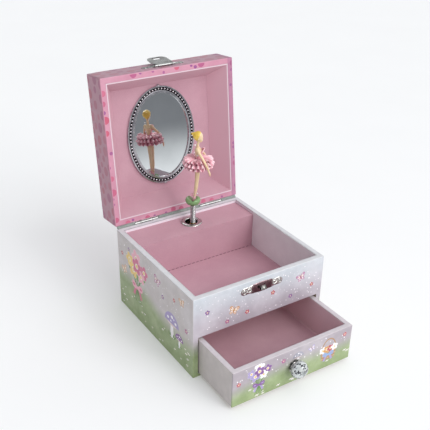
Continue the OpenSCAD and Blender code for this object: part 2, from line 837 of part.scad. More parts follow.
module comb_screws() {
    color("gainsboro") for (z = [-6, 6]) facing_back(comb_left + 3.5, comb_y, mv_z + z) {
        cylinder(r = 1.1, h = comb_t + 5);
        difference() {
            translate([0, 0, -1.2]) cylinder(r = 2.1, h = 1.2);
            block([-3, -0.3, -2], [3, 0.3, -0.7]);
        }
    }
}

module movement_screws() {
    color("silver") at_bed_screws() {
        translate([0, 0, -board_t - bedplate_t]) cylinder(r = screw_r, h = board_t + bedplate_t);
        difference() {
            cylinder(r1 = 2.6, r2 = 1.9, h = 1.5);
            block([-3, -0.35, 0.8], [3, 0.35, 2]);
            block([-0.35, -3, 0.8], [0.35, 3, 2]);
        }
    }
}

// Bent frame that carries the governor's wheel between two shelves and its worm across the side
module governor_frame() {
    x0 = wheel_x - 2.4;
    x1 = worm_x + fan_r + 0.6;
    front = spindle_y - 3;
    fan_front = spindle_y - 13.5;
    color("darkgray") difference() {
        union() {
            block([x0, bed_y - gov_t, gov_low], [x1 + gov_t, bed_y, gov_high + gov_t]);
            for (z = [gov_low, gov_high]) block([x0, front, z], [x1, bed_y - gov_t + eps, z + gov_t]);
            block([x1, fan_front, gov_low], [x1 + gov_t, bed_y - gov_t + eps, gov_high + gov_t]);
            block([worm_x - 2, fan_front, worm_z - 2], [x1 + eps, fan_front + gov_t, worm_z + 2]);
        }
        translate([wheel_x, spindle_y, gov_low - 1]) cylinder(r = 0.5 + turn_gap, h = gov_high - gov_low + 5);
        facing_back(worm_x, fan_front - 1, worm_z) cylinder(r = 0.45 + turn_gap, h = 40);
    }
}

// ---------- movement: what turns ----------

// Barrel that holds the mainspring, with a crown of teeth on its front face
module spring_barrel() {
    inner = crown_r - 0.9;
    outer = crown_r + 0.9;
    tooth = PI * 2 * crown_r / crown_teeth * 0.34;
    color("goldenrod") facing_front(spindle_x, barrel_back, barrel_z) difference() {
        depth = barrel_back - barrel_front;
        union() {
            cylinder(r = barrel_r, h = depth);
            translate([0, 0, depth - eps]) linear_extrude(crown_h + eps) for (i = [0:crown_teeth - 1])
                rotate(90 + 360 / crown_teeth * (i + 0.5)) translate([inner, -tooth / 2])
                    square([outer - inner, tooth]);
        }
        translate([0, 0, -1]) cylinder(r = arbor_r + turn_gap, h = 8);
        translate([0, 0, depth - 1]) difference() {
            cylinder(r = inner - 0.6, h = 2);
            translate([0, 0, -1]) cylinder(r = 3.4, h = 4);
        }
    }
}

// Pinned cylinder on its shaft, with the barrel's pinion below and the governor's gear above
module music_cylinder() {
    turns = 3;
    width = note_count * note_pitch;
    z0 = (cyl_top + cyl_bottom) / 2 - width / 2;
    color("gold") on_spindle(0) {
        translate([0, 0, pinion_z - 2.3]) cylinder(r = shaft_r, h = shelf_under - 4 - pinion_z + 2.3);
        translate([0, 0, pinion_z]) linear_extrude(gear_t) rotate(90) gear_outline(small_teeth, gear_m);
        translate([0, 0, pinion_z + gear_t - eps])
            cylinder(r = 1.2, h = cyl_bottom - pinion_z - gear_t + 2 * eps);
        translate([0, 0, cyl_bottom]) cylinder(r = cylinder_r, h = cyl_len);
        translate([0, 0, cyl_top - eps]) cylinder(r = 2, h = gear_z - cyl_top + 2 * eps);
        translate([0, 0, gear_z]) linear_extrude(gear_t) gear_outline(big_teeth, gear_m);
        for (i = [0:note_count - 1], j = [0:turns - 1])
            rotate([0, 0, 20 + j * 360 / turns + 137.5 * i])
                translate([cylinder_r - 0.3, 0, z0 + (i + 0.5) * note_pitch]) rotate([0, 90, 0])
                    cylinder(r = 0.2, h = 0.3 + pin_out);
    }
}

// Sleeve on the top of the shaft, with the peg that the spring post grips
module spindle_socket() {
    foot = shelf_under - 7;
    color("goldenrod") on_spindle(0) difference() {
        union() {
            translate([0, 0, foot]) cylinder(r = peg_r, h = post_pivot_z - 5.5 - foot);
            translate([0, 0, foot]) cylinder(r = spring_r + 0.3, h = spring_z - 0.2 - foot);
        }
        translate([0, 0, foot - 1]) cylinder(r = shaft_r + 0.05, h = 4.2);
    }
}

module governor_wheel() {
    color("goldenrod") translate([wheel_x, spindle_y, 0]) {
        translate([0, 0, gov_low + 0.2]) cylinder(r = 0.5, h = gov_high + gov_t - gov_low - 0.4);
        translate([0, 0, gear_z - 0.3]) linear_extrude(gear_t + 0.6)
            rotate(180 + 180 / small_teeth) gear_outline(small_teeth, gear_m);
        translate([0, 0, wheel_z]) linear_extrude(1.4) gear_outline(worm_teeth, gear_m, 0.6, 1, 0.34, 0.18);
    }
}

// Worm with two air vanes; the thread is an off-centre round twisted once for each tooth
module governor_fan() {
    turns = 4;
    lead = PI * gear_m;
    length = turns * lead;
    fan_y = spindle_y - 11.6;
    color("gold") {
        facing_front(worm_x, spindle_y + length / 2, worm_z)
            linear_extrude(length, twist = -360 * turns, slices = 32, segments = 10)
                translate([worm_wave, 0]) circle(r = worm_r, $fn = 10);
        facing_back(worm_x, fan_y - 1.7, worm_z) cylinder(r = 0.45, h = bed_y - fan_y + 1.7 - 0.2);
        translate([worm_x - fan_r, fan_y, worm_z - 0.25]) cube([2 * fan_r, 6.2, 0.5]);
        facing_back(worm_x, fan_y, worm_z) cylinder(r = 1.1, h = 6.2);
    }
}

module winding_arbor() {
    color("gainsboro") facing_back(spindle_x, barrel_back - 6.5, barrel_z)
        cylinder(r = arbor_r, h = key_y + 4.5 - barrel_back + 6.5);
}

// Butterfly key on the end of the arbor
module winding_key() {
    wing = 5.6;
    color("silver") difference() {
        union() {
            facing_back(spindle_x, key_y, barrel_z) cylinder(r = arbor_r + 1.6, h = 6.5);
            translate([spindle_x, key_y + 9.5, barrel_z - 0.9]) linear_extrude(1.8) difference() {
                union() {
                    for (end = [-1, 1]) translate([end * wing * 1.25, 0]) circle(r = wing);
                    translate([-wing, -wing * 0.8]) square([2 * wing, wing * 1.6]);
                }
                for (end = [-1, 1]) translate([end * wing * 1.35, 0]) circle(r = wing * 0.42);
            }
        }
        facing_back(spindle_x, key_y - 1, barrel_z) cylinder(r = arbor_r + 0.05, h = 5.8);
    }
}

// ---------- spring post and dancer ----------

// Close-wound spring, drawn as touching turns on a thin inner wall
module post_spring() {
    step = wire_d * 0.94;
    turns = floor((spring_top - spring_z) / step);
    color("silver") on_spindle(spring_z) rotate_extrude() {
        for (i = [0:turns - 1])
            translate([spring_r - wire_d / 2, wire_d / 2 + i * step]) circle(r = wire_d / 2, $fn = 24);
        translate([spring_hole_r, wire_d / 2]) square([wire_d * 0.6, (turns - 1) * step]);
    }
}

// Thick lily pad with a notch for the feet, and the peg that goes down into the spring
module dancer_pad() {
    notch_w = 4.3;
    notch_d = 4.8;
    color("mediumseagreen") on_dancer() difference() {
        union() {
            translate([0, 0, -pad_t]) rotate_extrude() intersection() {
                union() {
                    translate([0, pad_t * 0.62]) scale([pad_r / (pad_t * 0.62), 1]) circle(r = pad_t * 0.62);
                    square([spring_r + 0.6, pad_t * 0.5]);
                }
                square([pad_r, pad_t]);
            }
            translate([0, 0, -pad_t - peg_len]) cylinder(r = peg_r, h = peg_len + 1);
        }
        translate([0, 2.6, 0]) rotate([90, 0, 0]) linear_extrude(2 * pad_r)
            polygon([[-notch_w - 0.9, 1], [0, -notch_d], [notch_w + 0.9, 1]]);
    }
}

// Round limb from one point and radius to another
module limb(p, r, q, s) {
    d = q - p;
    len = norm(d);
    translate(p) rotate([0, acos(d[2] / len), atan2(d[1], d[0])]) cylinder(r1 = r, r2 = s, h = len, $fn = 32);
}

module joint_ball(p, r) {
    translate(p) sphere(r = r, $fn = 32);
}

// One arm, thicker by the given amount where it is used to cut a way through the skirt
module arm(side, more = 0) {
    shoulder = [4.6, side * 3.9, 57];
    elbow = [10, side * 5.6, 43];
    hand = [15.4, side * 3, 27.5];
    joint_ball(shoulder, 1.64 + more);
    limb(shoulder, 1.5 + more, elbow, 1.05 + more);
    joint_ball(elbow, 1.18 + more);
    limb(elbow, 1.05 + more, hand, 0.75 + more);
    joint_ball(hand, 0.95 + more);
}

// Moulded figure: legs together, arms low in front, head bent a little forward
module dancer_figure() {
    color("navajowhite") on_dancer() scale(size_k) {
        for (side = [-1, 1]) {
            toe = [0.2, side * 0.75, shoe_z];
            ankle = [1, side * 0.8, 3];
            knee = [2.2, side * 1.15, 17];
            hip = [3.3, side * 1.5, 33];
            limb(toe, 0.6, ankle, 1.1);
            joint_ball(ankle, 1.22);
            limb(ankle, 1.1, knee, 1.55);
            joint_ball(knee, 1.68);
            limb(knee, 1.55, hip, 2.2);
            joint_ball(hip, 2.34);
            arm(side);
        }
        limb([3.6, 0, 31], 3.1, [4.4, 0, 44], 2.5);
        joint_ball([4.4, 0, 44], 2.68);
        limb([4.4, 0, 44], 2.5, [4.9, 0, 54], 3.5);
        joint_ball([4.9, 0, 54.2], 3.8);
        limb([4.7, 0, 55], 2.6, [4.5, 0, 63], 1.35);
        joint_ball([5.4, 0, 66.6], 4.6);
        limb([8.9, 0, 66.9], 0.9, [10.5, 0, 65.7], 0.45);
        joint_ball([10.45, 0, 65.75], 0.52);
        for (side = [-1, 1]) joint_ball([6.9, side * 1.55, 53.2], 2.1);
    }
}

// Swept-back hair that ends in a pointed bun
module dancer_hair() {
    color("gold") on_dancer() scale(size_k) difference() {
        union() {
            joint_ball([4.3, 0, 68.2], 5.2);
            limb([2.6, 0, 69], 3.6, [-3.6, 0, 71], 0.8);
        }
        joint_ball([5.4, 0, 66.6], 4.66);
        translate([9.6, 0, 64.4]) rotate([0, 24, 0]) cube([6, 14, 12], center = true);
        translate([4.5, 0, 58]) cylinder(r = 8, h = 6, $fn = 32);
    }
}

// Gathered skirt, drawn as the full ring it fills about the waist, with ways through for the arms
module dancer_skirt() {
    inner = 3.25;
    color("lightpink") on_dancer() scale(size_k) difference() {
        translate([4.3, 0, 32.5]) rotate_extrude() polygon([[inner, 5.5], [inner, 8.5], [inner + 4, 12],
            [skirt_r - 5, 13], [skirt_r - 0.8, 9.5], [skirt_r, 6], [skirt_r - 0.6, 2.5], [skirt_r - 4, 0],
            [inner + 4, 3]]);
        for (side = [-1, 1]) arm(side, 0.35);
    }
}

side_wall(-1);  // left_wall
side_wall(1);  // right_wall
front_wall();
rear_wall();
base_board();
compartment_floor();
well_board();
shelf_board();
shelf_lining();
floor_lining();
wall_lining();
shelf_ring();
catch_plate();
catch_nails();
hinge_leaf(-1, -1);  // left_body_leaf
hinge_leaf(1, -1);  // right_body_leaf
hinge_pin(-1);  // left_hinge_pin
hinge_pin(1);  // right_hinge_pin
body_leaf_nails();
bedplate();
comb();
comb_screws();
governor_frame();
movement_screws();
lid_front();
lid_rear();
lid_side(-1);  // lid_left
lid_side(1);  // lid_right
lid_top();
lid_recess();
mirror_glass();
mirror_frame();
on_lid() hinge_leaf(-1, 1);  // left_lid_leaf
on_lid() hinge_leaf(1, 1);  // right_lid_leaf
lid_leaf_nails();
latch_plate();
latch_nails();
latch_pin();
latch_flap();
drawer_front();
drawer_side(-1);  // drawer_left
drawer_side(1);  // drawer_right
drawer_back();
drawer_floor();
drawer_lining();
crystal_knob();
knob_rosette();
knob_screw();
winding_key();
winding_arbor();
spring_barrel();
music_cylinder();
spindle_socket();
governor_wheel();
governor_fan();
post_spring();
dancer_pad();
dancer_figure();
dancer_hair();
dancer_skirt();
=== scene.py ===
import random
from functools import partialmethod
from math import atan2, cos, degrees, exp, hypot, pi, radians, sin, tau

import bmesh
import bpy
import numpy as np
from mathutils import Matrix, Vector
from mathutils.geometry import delaunay_2d_cdt


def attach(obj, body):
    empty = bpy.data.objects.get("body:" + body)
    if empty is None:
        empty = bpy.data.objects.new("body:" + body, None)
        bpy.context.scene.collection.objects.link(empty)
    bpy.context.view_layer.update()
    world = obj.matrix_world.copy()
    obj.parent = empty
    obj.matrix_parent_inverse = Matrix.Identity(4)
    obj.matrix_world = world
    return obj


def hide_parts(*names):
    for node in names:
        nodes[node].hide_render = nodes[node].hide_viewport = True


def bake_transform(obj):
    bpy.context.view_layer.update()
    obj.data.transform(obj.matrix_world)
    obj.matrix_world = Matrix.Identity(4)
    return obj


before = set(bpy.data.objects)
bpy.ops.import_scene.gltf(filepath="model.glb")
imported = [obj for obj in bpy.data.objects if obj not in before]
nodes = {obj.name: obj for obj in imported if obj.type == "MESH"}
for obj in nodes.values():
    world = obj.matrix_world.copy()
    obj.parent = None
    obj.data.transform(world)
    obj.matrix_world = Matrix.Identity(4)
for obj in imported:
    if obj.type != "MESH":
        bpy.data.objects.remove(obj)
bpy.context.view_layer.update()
scene = bpy.context.scene
MM = 0.001

# ---------- sizes repeated from the part source, in mm ----------

HALF_W, HALF_D, BODY_H, BOARD = 75.0, 76.0, 88.0, 5.2
IN_X = HALF_W - BOARD
LID_Z, LID_H, LID_OPEN = 88.6, 30.0, 96.0
PIN_Y, PIN_Z = 78.2, 88.3
FLOOR_Z, WELL_Y, SHELF_Z = 47.0, 36.4, 85.0
DRAWER_X, DRAWER_Y0, DRAWER_Y1, DRAWER_Z0, DRAWER_H = 68.6, -132.0, -20.7, 3.7, 38.4
SPIN_X, SPIN_Y, PAD_Z, FACING = 4.5, 56.0, 113.0, -33.0
KNOB_Z, KNOB_R = DRAWER_Z0 + DRAWER_H / 2, 8.8
CATCH_Z, NAIL_X, BORE_R = 78.8, 20.0, 0.7
MIRROR, RING_X, RING_Y = (-3.0, -3.0, 110.6), 36.6, 49.2  # the mirror's middle and the bead ring's half axes

# ---------- sizes of the coverings and the doll, in mm ----------

PAPER, DRAWER_PAPER = 0.25, 0.2  # how far the paper stands off the boards
ART_X, ART_Y = 74, 75  # how far the lid's print reaches
SKIRT_X = 5.6
BUN_Z = 70.5
FLUTES = 0.16  # the share of each pleat's third wave

# From the closed lid to where it stands open, and from the dancer's own frame to the row frame
HINGE = Vector((0, PIN_Y, PIN_Z))
LID = Matrix.Translation(HINGE) @ Matrix.Rotation(radians(-LID_OPEN), 4, "X") @ Matrix.Translation(-HINGE)
DANCER = Matrix.Translation((SPIN_X, SPIN_Y, PAD_Z)) @ Matrix.Rotation(radians(FACING), 4, "Z")
QUARTER = Matrix.Rotation(radians(90), 4, "X")  # turns +Z to face the front

# ---------- camera, fitted to the photograph ----------

CAM_POS = Vector((-0.345164, -0.522910, 0.447339))
CAM_RIGHT = Vector((0.84203, -0.53919, 0.01622))
CAM_UP = Vector((0.26656, 0.44205, 0.85647))
CAM_FWD = Vector((0.46897, 0.71685, -0.51594))

camera_data = bpy.data.cameras.new("camera")
camera_data.lens = 59.99
camera_data.sensor_width = 36.0
camera_data.shift_y = 0.1
camera_data.clip_start = 0.01
camera = bpy.data.objects.new("camera", camera_data)
scene.collection.objects.link(camera)
camera.matrix_world = Matrix.Translation(CAM_POS) @ Matrix((CAM_RIGHT, CAM_UP, -CAM_FWD)).transposed().to_4x4()
scene.camera = camera
scene.view_settings.view_transform = "Standard"


# ---------- small helpers ----------

def srgb(*channels):
    """An 8-bit colour as linear values."""
    return tuple((v / 255 / 12.92) if v / 255 <= 0.04045 else ((v / 255 + 0.055) / 1.055) ** 2.4 for v in channels)


def circle(n):
    """The cosine and sine of n even steps round a circle."""
    return [(cos(tau * k / n), sin(tau * k / n)) for k in range(n)]


def new_object(name, verts, faces, body=None, mat=None, matrix=None, smooth=True, slot=None):
    """A mesh object from points in mm."""
    mesh = bpy.data.meshes.new(name)
    if matrix is not None:
        verts = [matrix @ Vector(v) for v in verts]
    mesh.from_pydata([Vector(v) * MM for v in verts], [], [list(f) for f in faces])
    mesh.validate()
    mesh.update()
    obj = bpy.data.objects.new(name, mesh)
    scene.collection.objects.link(obj)
    if mat:
        mesh.materials.append(MATS[mat])
    for p in mesh.polygons:
        p.use_smooth = smooth
    if body:
        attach(obj, body)
    return obj


def apply_modifiers(obj, smooth=False):
    deps = bpy.context.evaluated_depsgraph_get()
    obj.update_tag()
    deps.update()
    mesh = bpy.data.meshes.new_from_object(obj.evaluated_get(deps), preserve_all_data_layers=True, depsgraph=deps)
    old = obj.data
    obj.modifiers.clear()
    obj.data = mesh
    bpy.data.meshes.remove(old)
    if smooth:
        for p in mesh.polygons:
            p.use_smooth = True


def solidify(obj, name, thick, offset=0):
    solid = obj.modifiers.new(name, "SOLIDIFY")
    solid.thickness = thick * MM
    solid.offset = offset


def trim(obj, cutter):
    """Cut one mesh out of another and drop the cutter."""
    for one in (cutter, obj):
        grow = bmesh.new()
        grow.from_mesh(one.data)
        bmesh.ops.recalc_face_normals(grow, faces=grow.faces)
        grow.to_mesh(one.data)
        grow.free()
    m = obj.modifiers.new("cut", "BOOLEAN")
    m.operation, m.solver, m.object = "DIFFERENCE", "EXACT", cutter
    apply_modifiers(obj)
    bpy.data.objects.remove(cutter)


# ---------- forms, as (points, faces) ----------

def tube(path, radii, sides=12, closed=False):
    """A round tube along a path."""
    verts, faces, side, count = [], [], None, len(path)
    if not hasattr(radii, "__len__"):
        radii = [radii] * count
    for i, p in enumerate(path):
        a = Vector(path[(i - 1) % count] if closed or i else path[0])
        b = Vector(path[(i + 1) % count] if closed or i < count - 1 else path[-1])
        t = (b - a).normalized()
        if side is None:
            side = t.orthogonal().normalized()
        side = (side - t * side.dot(t)).normalized()
        up = t.cross(side)
        verts += [Vector(p) + (side * c + up * s) * radii[i] for c, s in circle(sides)]
    for i in range(count if closed else count - 1):
        a, b = i * sides, (i + 1) % count * sides
        faces += [(a + k, a + (k + 1) % sides, b + (k + 1) % sides, b + k) for k in range(sides)]
    if not closed:
        faces += [tuple(reversed(range(sides))), tuple((count - 1) * sides + k for k in range(sides))]
    return verts, faces


def lathe(profile, steps=48):
    """A turned form about Z; profile is (radius, z) from one pole or edge to the other."""
    verts, faces, rings = [], [], []
    for r, z in profile:
        pole = r < 1e-6
        rings.append(range(len(verts), len(verts) + (1 if pole else steps)))
        verts += [Vector((0, 0, z))] if pole else [Vector((r * c, r * s, z)) for c, s in circle(steps)]
    for a, b in zip(rings, rings[1:]):
        for k in range(steps):
            m = (k + 1) % steps
            if len(a) == 1:
                faces.append((a[0], b[m], b[k]))
            elif len(b) == 1:
                faces.append((a[k], a[m], b[0]))
            else:
                faces.append((a[k], a[m], b[m], b[k]))
    return verts, faces


def ball(x, y, z, r, rx=1.0, ry=1.0, rz=1.0, steps=20):
    v, f = lathe([(r * sin(pi * k / 12), -r * cos(pi * k / 12)) for k in range(13)], steps)
    return [Vector((x + p.x * rx, y + p.y * ry, z + p.z * rz)) for p in v], [f[::-1] for f in f]


def joined(parts):
    """Several forms as one."""
    verts, faces = [], []
    for v, f in parts:
        base = len(verts)
        verts += list(v)
        faces += [tuple(i + base for i in face) for face in f]
    return verts, faces


def grid_faces(cols, rows, closed=False):
    return [(i * rows + m, i * rows + m + 1, (i + 1) % cols * rows + m + 1, (i + 1) % cols * rows + m)
            for i in range(cols if closed else cols - 1) for m in range(rows - 1)]


def moved(part, matrix):
    return [matrix @ Vector(v) for v in part[0]], part[1]


# ---------- materials ----------

class Shader:
    """A Principled material with a few shortcuts for its node tree."""

    def __init__(self, name, color=(0.8, 0.8, 0.8), rough=0.5, metal=0.0, **sockets):
        self.mat = bpy.data.materials.new(name)
        self.mat.use_nodes = True
        self.tree = self.mat.node_tree
        self.tree.nodes.clear()
        out = self.tree.nodes.new("ShaderNodeOutputMaterial")
        self.bsdf = self.tree.nodes.new("ShaderNodeBsdfPrincipled")
        self.link(self.bsdf.outputs[0], out.inputs[0])
        self.set(Base_Color=(*color, 1), Roughness=rough, Metallic=metal, **sockets)
        self.where = self.tree.nodes.new("ShaderNodeTexCoord").outputs["Object"]

    def set(self, **sockets):
        """Values that are the same all over the surface."""
        for key, value in sockets.items():
            self.bsdf.inputs[key.replace("_", " ")].default_value = value

    def link(self, a, b):
        self.tree.links.new(a, b)

    def put(self, socket, value):
        """Another node's output, or a plain value."""
        if hasattr(value, "is_output"):
            self.link(value, socket)
        else:
            socket.default_value = value

    def node(self, kind, **values):
        n = self.tree.nodes.new("ShaderNode" + kind)
        for key, value in values.items():
            if hasattr(n, key):
                setattr(n, key, value)
            else:
                self.put(n.inputs[key.replace("_", " ")], value)
        return n

    def texture(self, kind, vector=None, **values):
        n = self.node(kind, **values)
        self.link(vector or self.where, n.inputs["Vector"])
        return n.outputs

    def noise(self, scale, detail=3, rough=0.5, vector=None):
        return self.texture("TexNoise", vector, Scale=scale, Detail=detail, Roughness=rough)[0]

    def ramp(self, value, *stops):
        n = self.node("ValToRGB")
        self.link(value, n.inputs[0])
        elements = n.color_ramp.elements
        while len(elements) < len(stops):
            elements.new(1)
        for e, (pos, color) in zip(elements, stops):
            e.position = pos
            e.color = (*color, 1)
        return n.outputs[0]

    def cloud(self, scale, detail, rough, *stops):
        """Soft noise between colours."""
        return self.ramp(self.noise(scale, detail, rough), *stops)

    def mix(self, factor, a, b, blend="MIX"):
        n = self.node("Mix", data_type="RGBA", blend_type=blend)
        for index, value in ((0, factor), (6, a), (7, b)):
            self.put(n.inputs[index], (*value, 1) if isinstance(value, tuple) else value)
        return n.outputs[2]

    def math(self, kind, a, b=0.0, c=0.0):
        n = self.node("Math", operation=kind)
        for index, value in enumerate((a, b, c)):
            self.put(n.inputs[index], value)
        return n.outputs[0]

    add, sub, mul = (partialmethod(math, "ADD"), partialmethod(math, "SUBTRACT"), partialmethod(math, "MULTIPLY"))

    def span(self, value, low, high, to_low=0.0, to_high=1.0):
        """A smooth step from to_low at low to to_high at high."""
        n = self.node("MapRange", interpolation_type="SMOOTHSTEP")
        self.link(value, n.inputs[0])
        for index, v in zip((1, 2, 3, 4), (low, high, to_low, to_high)):
            n.inputs[index].default_value = v
        return n.outputs[0]

    def bump(self, height, strength, distance):
        n = self.node("Bump", Strength=strength, Distance=distance, Height=height)
        self.link(n.outputs[0], self.bsdf.inputs["Normal"])

    def grain(self, scale, detail, rough, strength, distance):
        """Fine relief from noise."""
        self.bump(self.noise(scale, detail, rough), strength, distance)

    def color(self, value):
        self.link(value, self.bsdf.inputs["Base Color"])

    def rough(self, value):
        self.link(value, self.bsdf.inputs["Roughness"])

    def uneven(self, scale, detail, noise_rough, *span):
        """Roughness that varies with noise."""
        self.rough(self.span(self.noise(scale, detail, noise_rough), *span))

    def attribute(self, name):
        return self.node("Attribute", attribute_name=name).outputs

    def parts(self):
        return self.texture("SeparateXYZ")

    def closed_lid(self):
        """A point's x, and its depth and height from the hinge axis, with the lid swung shut."""
        p = self.parts()
        c, sn = cos(radians(LID_OPEN)), sin(radians(LID_OPEN))
        y, z = self.sub(p[1], PIN_Y * MM), self.sub(p[2], PIN_Z * MM)
        up = self.add(self.mul(y, sn), self.mul(z, c))
        return p[0], self.sub(self.mul(y, c), self.mul(z, sn)), up

    def printed(self, base):
        """The motifs of the print attribute over a ground."""
        ink = self.attribute("print")
        return self.mix(ink["Alpha"], base, ink["Color"])

    def paper(self, color, darkest):
        """Slight wear over a print, and fibres."""
        wear = self.span(self.noise(120, 5, 0.65), 0.35, 0.75, darkest, 1.03)
        grey = self.node("CombineColor", Red=wear, Green=wear, Blue=wear).outputs[0]
        self.color(self.mix(1.0, color, grey, "MULTIPLY"))
        self.fibres()
        return self.mat

    def fibres(self, strength=0.12):
        self.grain(2600, 2, 0.6, strength, 0.00005)


COATED = {"Specular_IOR_Level": 0.4, "Coat_Weight": 0.12, "Coat_Roughness": 0.35}


def make_sky_paper(name, z_low, z_high, rim_color, slope_y=0.0, slope_x=0.0, rim=0.0, front=None):
    """Printed sky that fades into a meadow, with a plain rim. Lengths are in metres."""
    s = Shader(name, rough=0.42, **COATED)
    p = s.parts()
    wave = s.mul(s.math("SINE", s.add(s.mul(p[0], 42.0), s.mul(p[1], 55.0))), 0.003)
    tilt = s.add(s.mul(p[1], slope_y), s.mul(p[0], slope_x))
    meadow = s.span(s.add(s.sub(p[2], tilt), wave), z_low, z_high, 1.0, 0.0)
    # The sky fades from pale blue-white at the top to a darker mauve low down: print, and partly a painted shade low on
    # the walls.
    sky = s.ramp(s.span(p[2], 0.036, 0.089), (0.0, srgb(177, 167, 177)), (0.3, srgb(184, 176, 186)),
                 (0.6, srgb(196, 193, 202)), (1.0, srgb(204, 210, 217)))
    # Painted shade: on the side walls the sky is a flat, duller pinkish grey.
    sky = s.mix(s.span(s.math("ABSOLUTE", p[0]), HALF_W * MM - 0.0002, HALF_W * MM), sky, srgb(203, 195, 195))
    sky = s.mix(s.span(s.noise(26, 3, 0.5), 0.42, 0.72, 0.0, 0.3), sky, srgb(238, 234, 240))
    grass = s.cloud(70, 4, 0.6, (0.30, srgb(139, 157, 109)), (0.55, srgb(162, 178, 134)), (0.75, srgb(180, 191, 152)))
    grass = s.mix(s.span(p[2], 0.0, 0.02, 0.35, 0.0), grass, srgb(138, 158, 102))
    if front is not None:  # the print is on the front alone, and the sides are plain
        on_front = s.span(p[1], front, front + 0.0006, 1.0, 0.0)
        meadow = s.mul(meadow, on_front)
        sky = s.mix(on_front, srgb(200, 192, 190), s.mix(1.0, sky, srgb(252, 252, 250), "MULTIPLY"))
    back = s.mix(meadow, sky, grass)
    back = s.mix(s.span(p[2], rim - 0.0009, rim - 0.0003), back, rim_color)
    return s.paper(s.printed(back), 0.93)


def make_lid_paper():
    """Pink print, with painted shade: its front wall is greyer, and its left side and right rim darker, as the
    photograph shows them.
    """
    s = Shader("lid_print", rough=0.4, **COATED)
    color = s.printed(s.cloud(40, 3, 0.5, (0.3, srgb(204, 142, 164)), (0.7, srgb(212, 154, 174))))
    _, back, _ = s.closed_lid()
    # Painted shade: the front wall greyer, the left side and the right rim darker.
    front = s.span(back, -(HALF_D + PIN_Y + 0.25) * MM, -(HALF_D + PIN_Y - 0.3) * MM, 0.5, 0.0)
    color = s.mix(front, color, srgb(150, 136, 144))
    left = s.span(s.parts()[0], -(HALF_W + 0.22) * MM, -(HALF_W - 0.2) * MM, 0.42, 0.0)
    color = s.mix(left, color, srgb(128, 96, 108))
    right = s.span(s.parts()[0], (HALF_W - 6.5) * MM, (HALF_W - 5) * MM, 0.0, 0.45)
    return s.paper(s.mix(right, color, srgb(146, 92, 132)), 0.94)


def make_plain_paper(name, color, dark):
    s = Shader(name, rough=0.55, Specular_IOR_Level=0.35)
    s.color(s.cloud(60, 4, 0.6, (0.3, dark), (0.7, color)))
    s.fibres(0.15)
    return s.mat


FLOCK, FLOCK_DARK = srgb(201, 160, 172), srgb(193, 150, 163)


def flock_shader(name, light=FLOCK, dark=FLOCK_DARK):
    s = Shader(name, rough=0.92, Specular_IOR_Level=0.15, Sheen_Weight=0.35, Sheen_Roughness=0.45)
    s.set(Sheen_Tint=(*srgb(255, 205, 218), 1))
    blotch, fibre = s.noise(28, 4, 0.6), s.noise(1500, 3, 0.7)
    color = s.ramp(blotch, (0.32, dark), (0.68, light))
    color = s.mix(s.span(fibre, 0.3, 0.7, 0.25, 0.0), color, tuple(v * 0.7 for v in dark))
    s.bump(fibre, 0.5, 0.00012)
    return s, color


def make_flock(name="flock", *colors, painted_light_from=None):
    s, color = flock_shader(name, *colors)
    if painted_light_from:  # the lining is painted paler up the right wall, a painted light
        color = s.mix(s.span(s.parts()[0], painted_light_from, painted_light_from + 0.003, 0.0, 0.8), color, srgb(236, 208, 214))
    s.color(color)
    return s.mat


def make_recess_flock():
    """Flock with a bare white card edge along the rim of the lid's recess, and a right slope painted paler: a painted
    light.
    """
    s, color = flock_shader("recess_flock")
    across, back, up = s.closed_lid()
    side = s.sub(across, s.math("ABSOLUTE", s.add(back, PIN_Y * MM)))  # above -1 mm on the right slope
    painted_light_slope = s.mul(s.span(side, -0.0013, -0.0007), s.span(across, 0.0556, 0.0566, 0.0, 0.8))
    color = s.mix(painted_light_slope, color, srgb(230, 186, 199))
    s.color(s.mix(s.span(up, 0.00030, 0.00052, 1.0, 0.0), color, srgb(226, 206, 214)))
    return s.mat


def make_mirror_frame():
    """Silver plating, with a painted shade that turns it near-black in the channel between the beads."""
    s = Shader("plated_frame", rough=0.18, metal=1.0)
    x, back, up = s.closed_lid()
    u = s.math("DIVIDE", s.sub(x, MIRROR[0] * MM), RING_X * MM)
    v = s.math("DIVIDE", s.sub(back, (MIRROR[1] - PIN_Y) * MM), RING_Y * MM)
    ring = s.math("SQRT", s.add(s.mul(u, u), s.mul(v, v)))
    off = s.math("ABSOLUTE", s.sub(ring, 1.0))
    low = s.span(up, (MIRROR[2] - PIN_Z - 2.25) * MM, (MIRROR[2] - PIN_Z - 1.95) * MM)
    # Painted shade in the channel between the beads.
    channel_shade = s.mul(low, s.span(off, 0.030, 0.046, 1.0, 0.0))
    plate = s.cloud(90, 4, 0.6, (0.3, srgb(186, 184, 190)), (0.65, srgb(222, 221, 224)))
    s.color(s.mix(channel_shade, plate, srgb(30, 28, 34)))
    s.rough(s.add(s.mul(channel_shade, 0.5), s.span(s.noise(200, 3, 0.6), 0.3, 0.7, 0.12, 0.24)))
    s.grain(600, 3, 0.6, 0.06, 0.00004)
    return s.mat


def make_metal(name, color, rough, scale=300.0, tarnish=None, bump=0.05, spread=0.08):
    s = Shader(name, color=color, rough=rough, metal=1.0)
    s.uneven(scale * 0.3, 4, 0.6, 0.3, 0.75, rough, rough + spread)
    s.color(s.cloud(scale * 0.15, 5, 0.6, (0.28, tarnish or tuple(v * 0.82 for v in color)), (0.6, color)))
    s.grain(scale, 3, 0.6, bump, 0.00004)
    return s.mat


def make_plastic(name, color, rough=0.35, dark=None, coat=0.2, sub=0.0):
    s = Shader(name, rough=rough, Coat_Weight=coat, Coat_Roughness=0.15)
    if sub:
        s.set(Subsurface_Weight=sub, Subsurface_Radius=(0.004, 0.002, 0.0012), Subsurface_Scale=0.25)
    s.color(s.cloud(160, 3, 0.5, (0.3, dark or tuple(v * 0.88 for v in color)), (0.65, color)))
    s.grain(900, 2, 0.5, 0.06, 0.00005)
    return s.mat


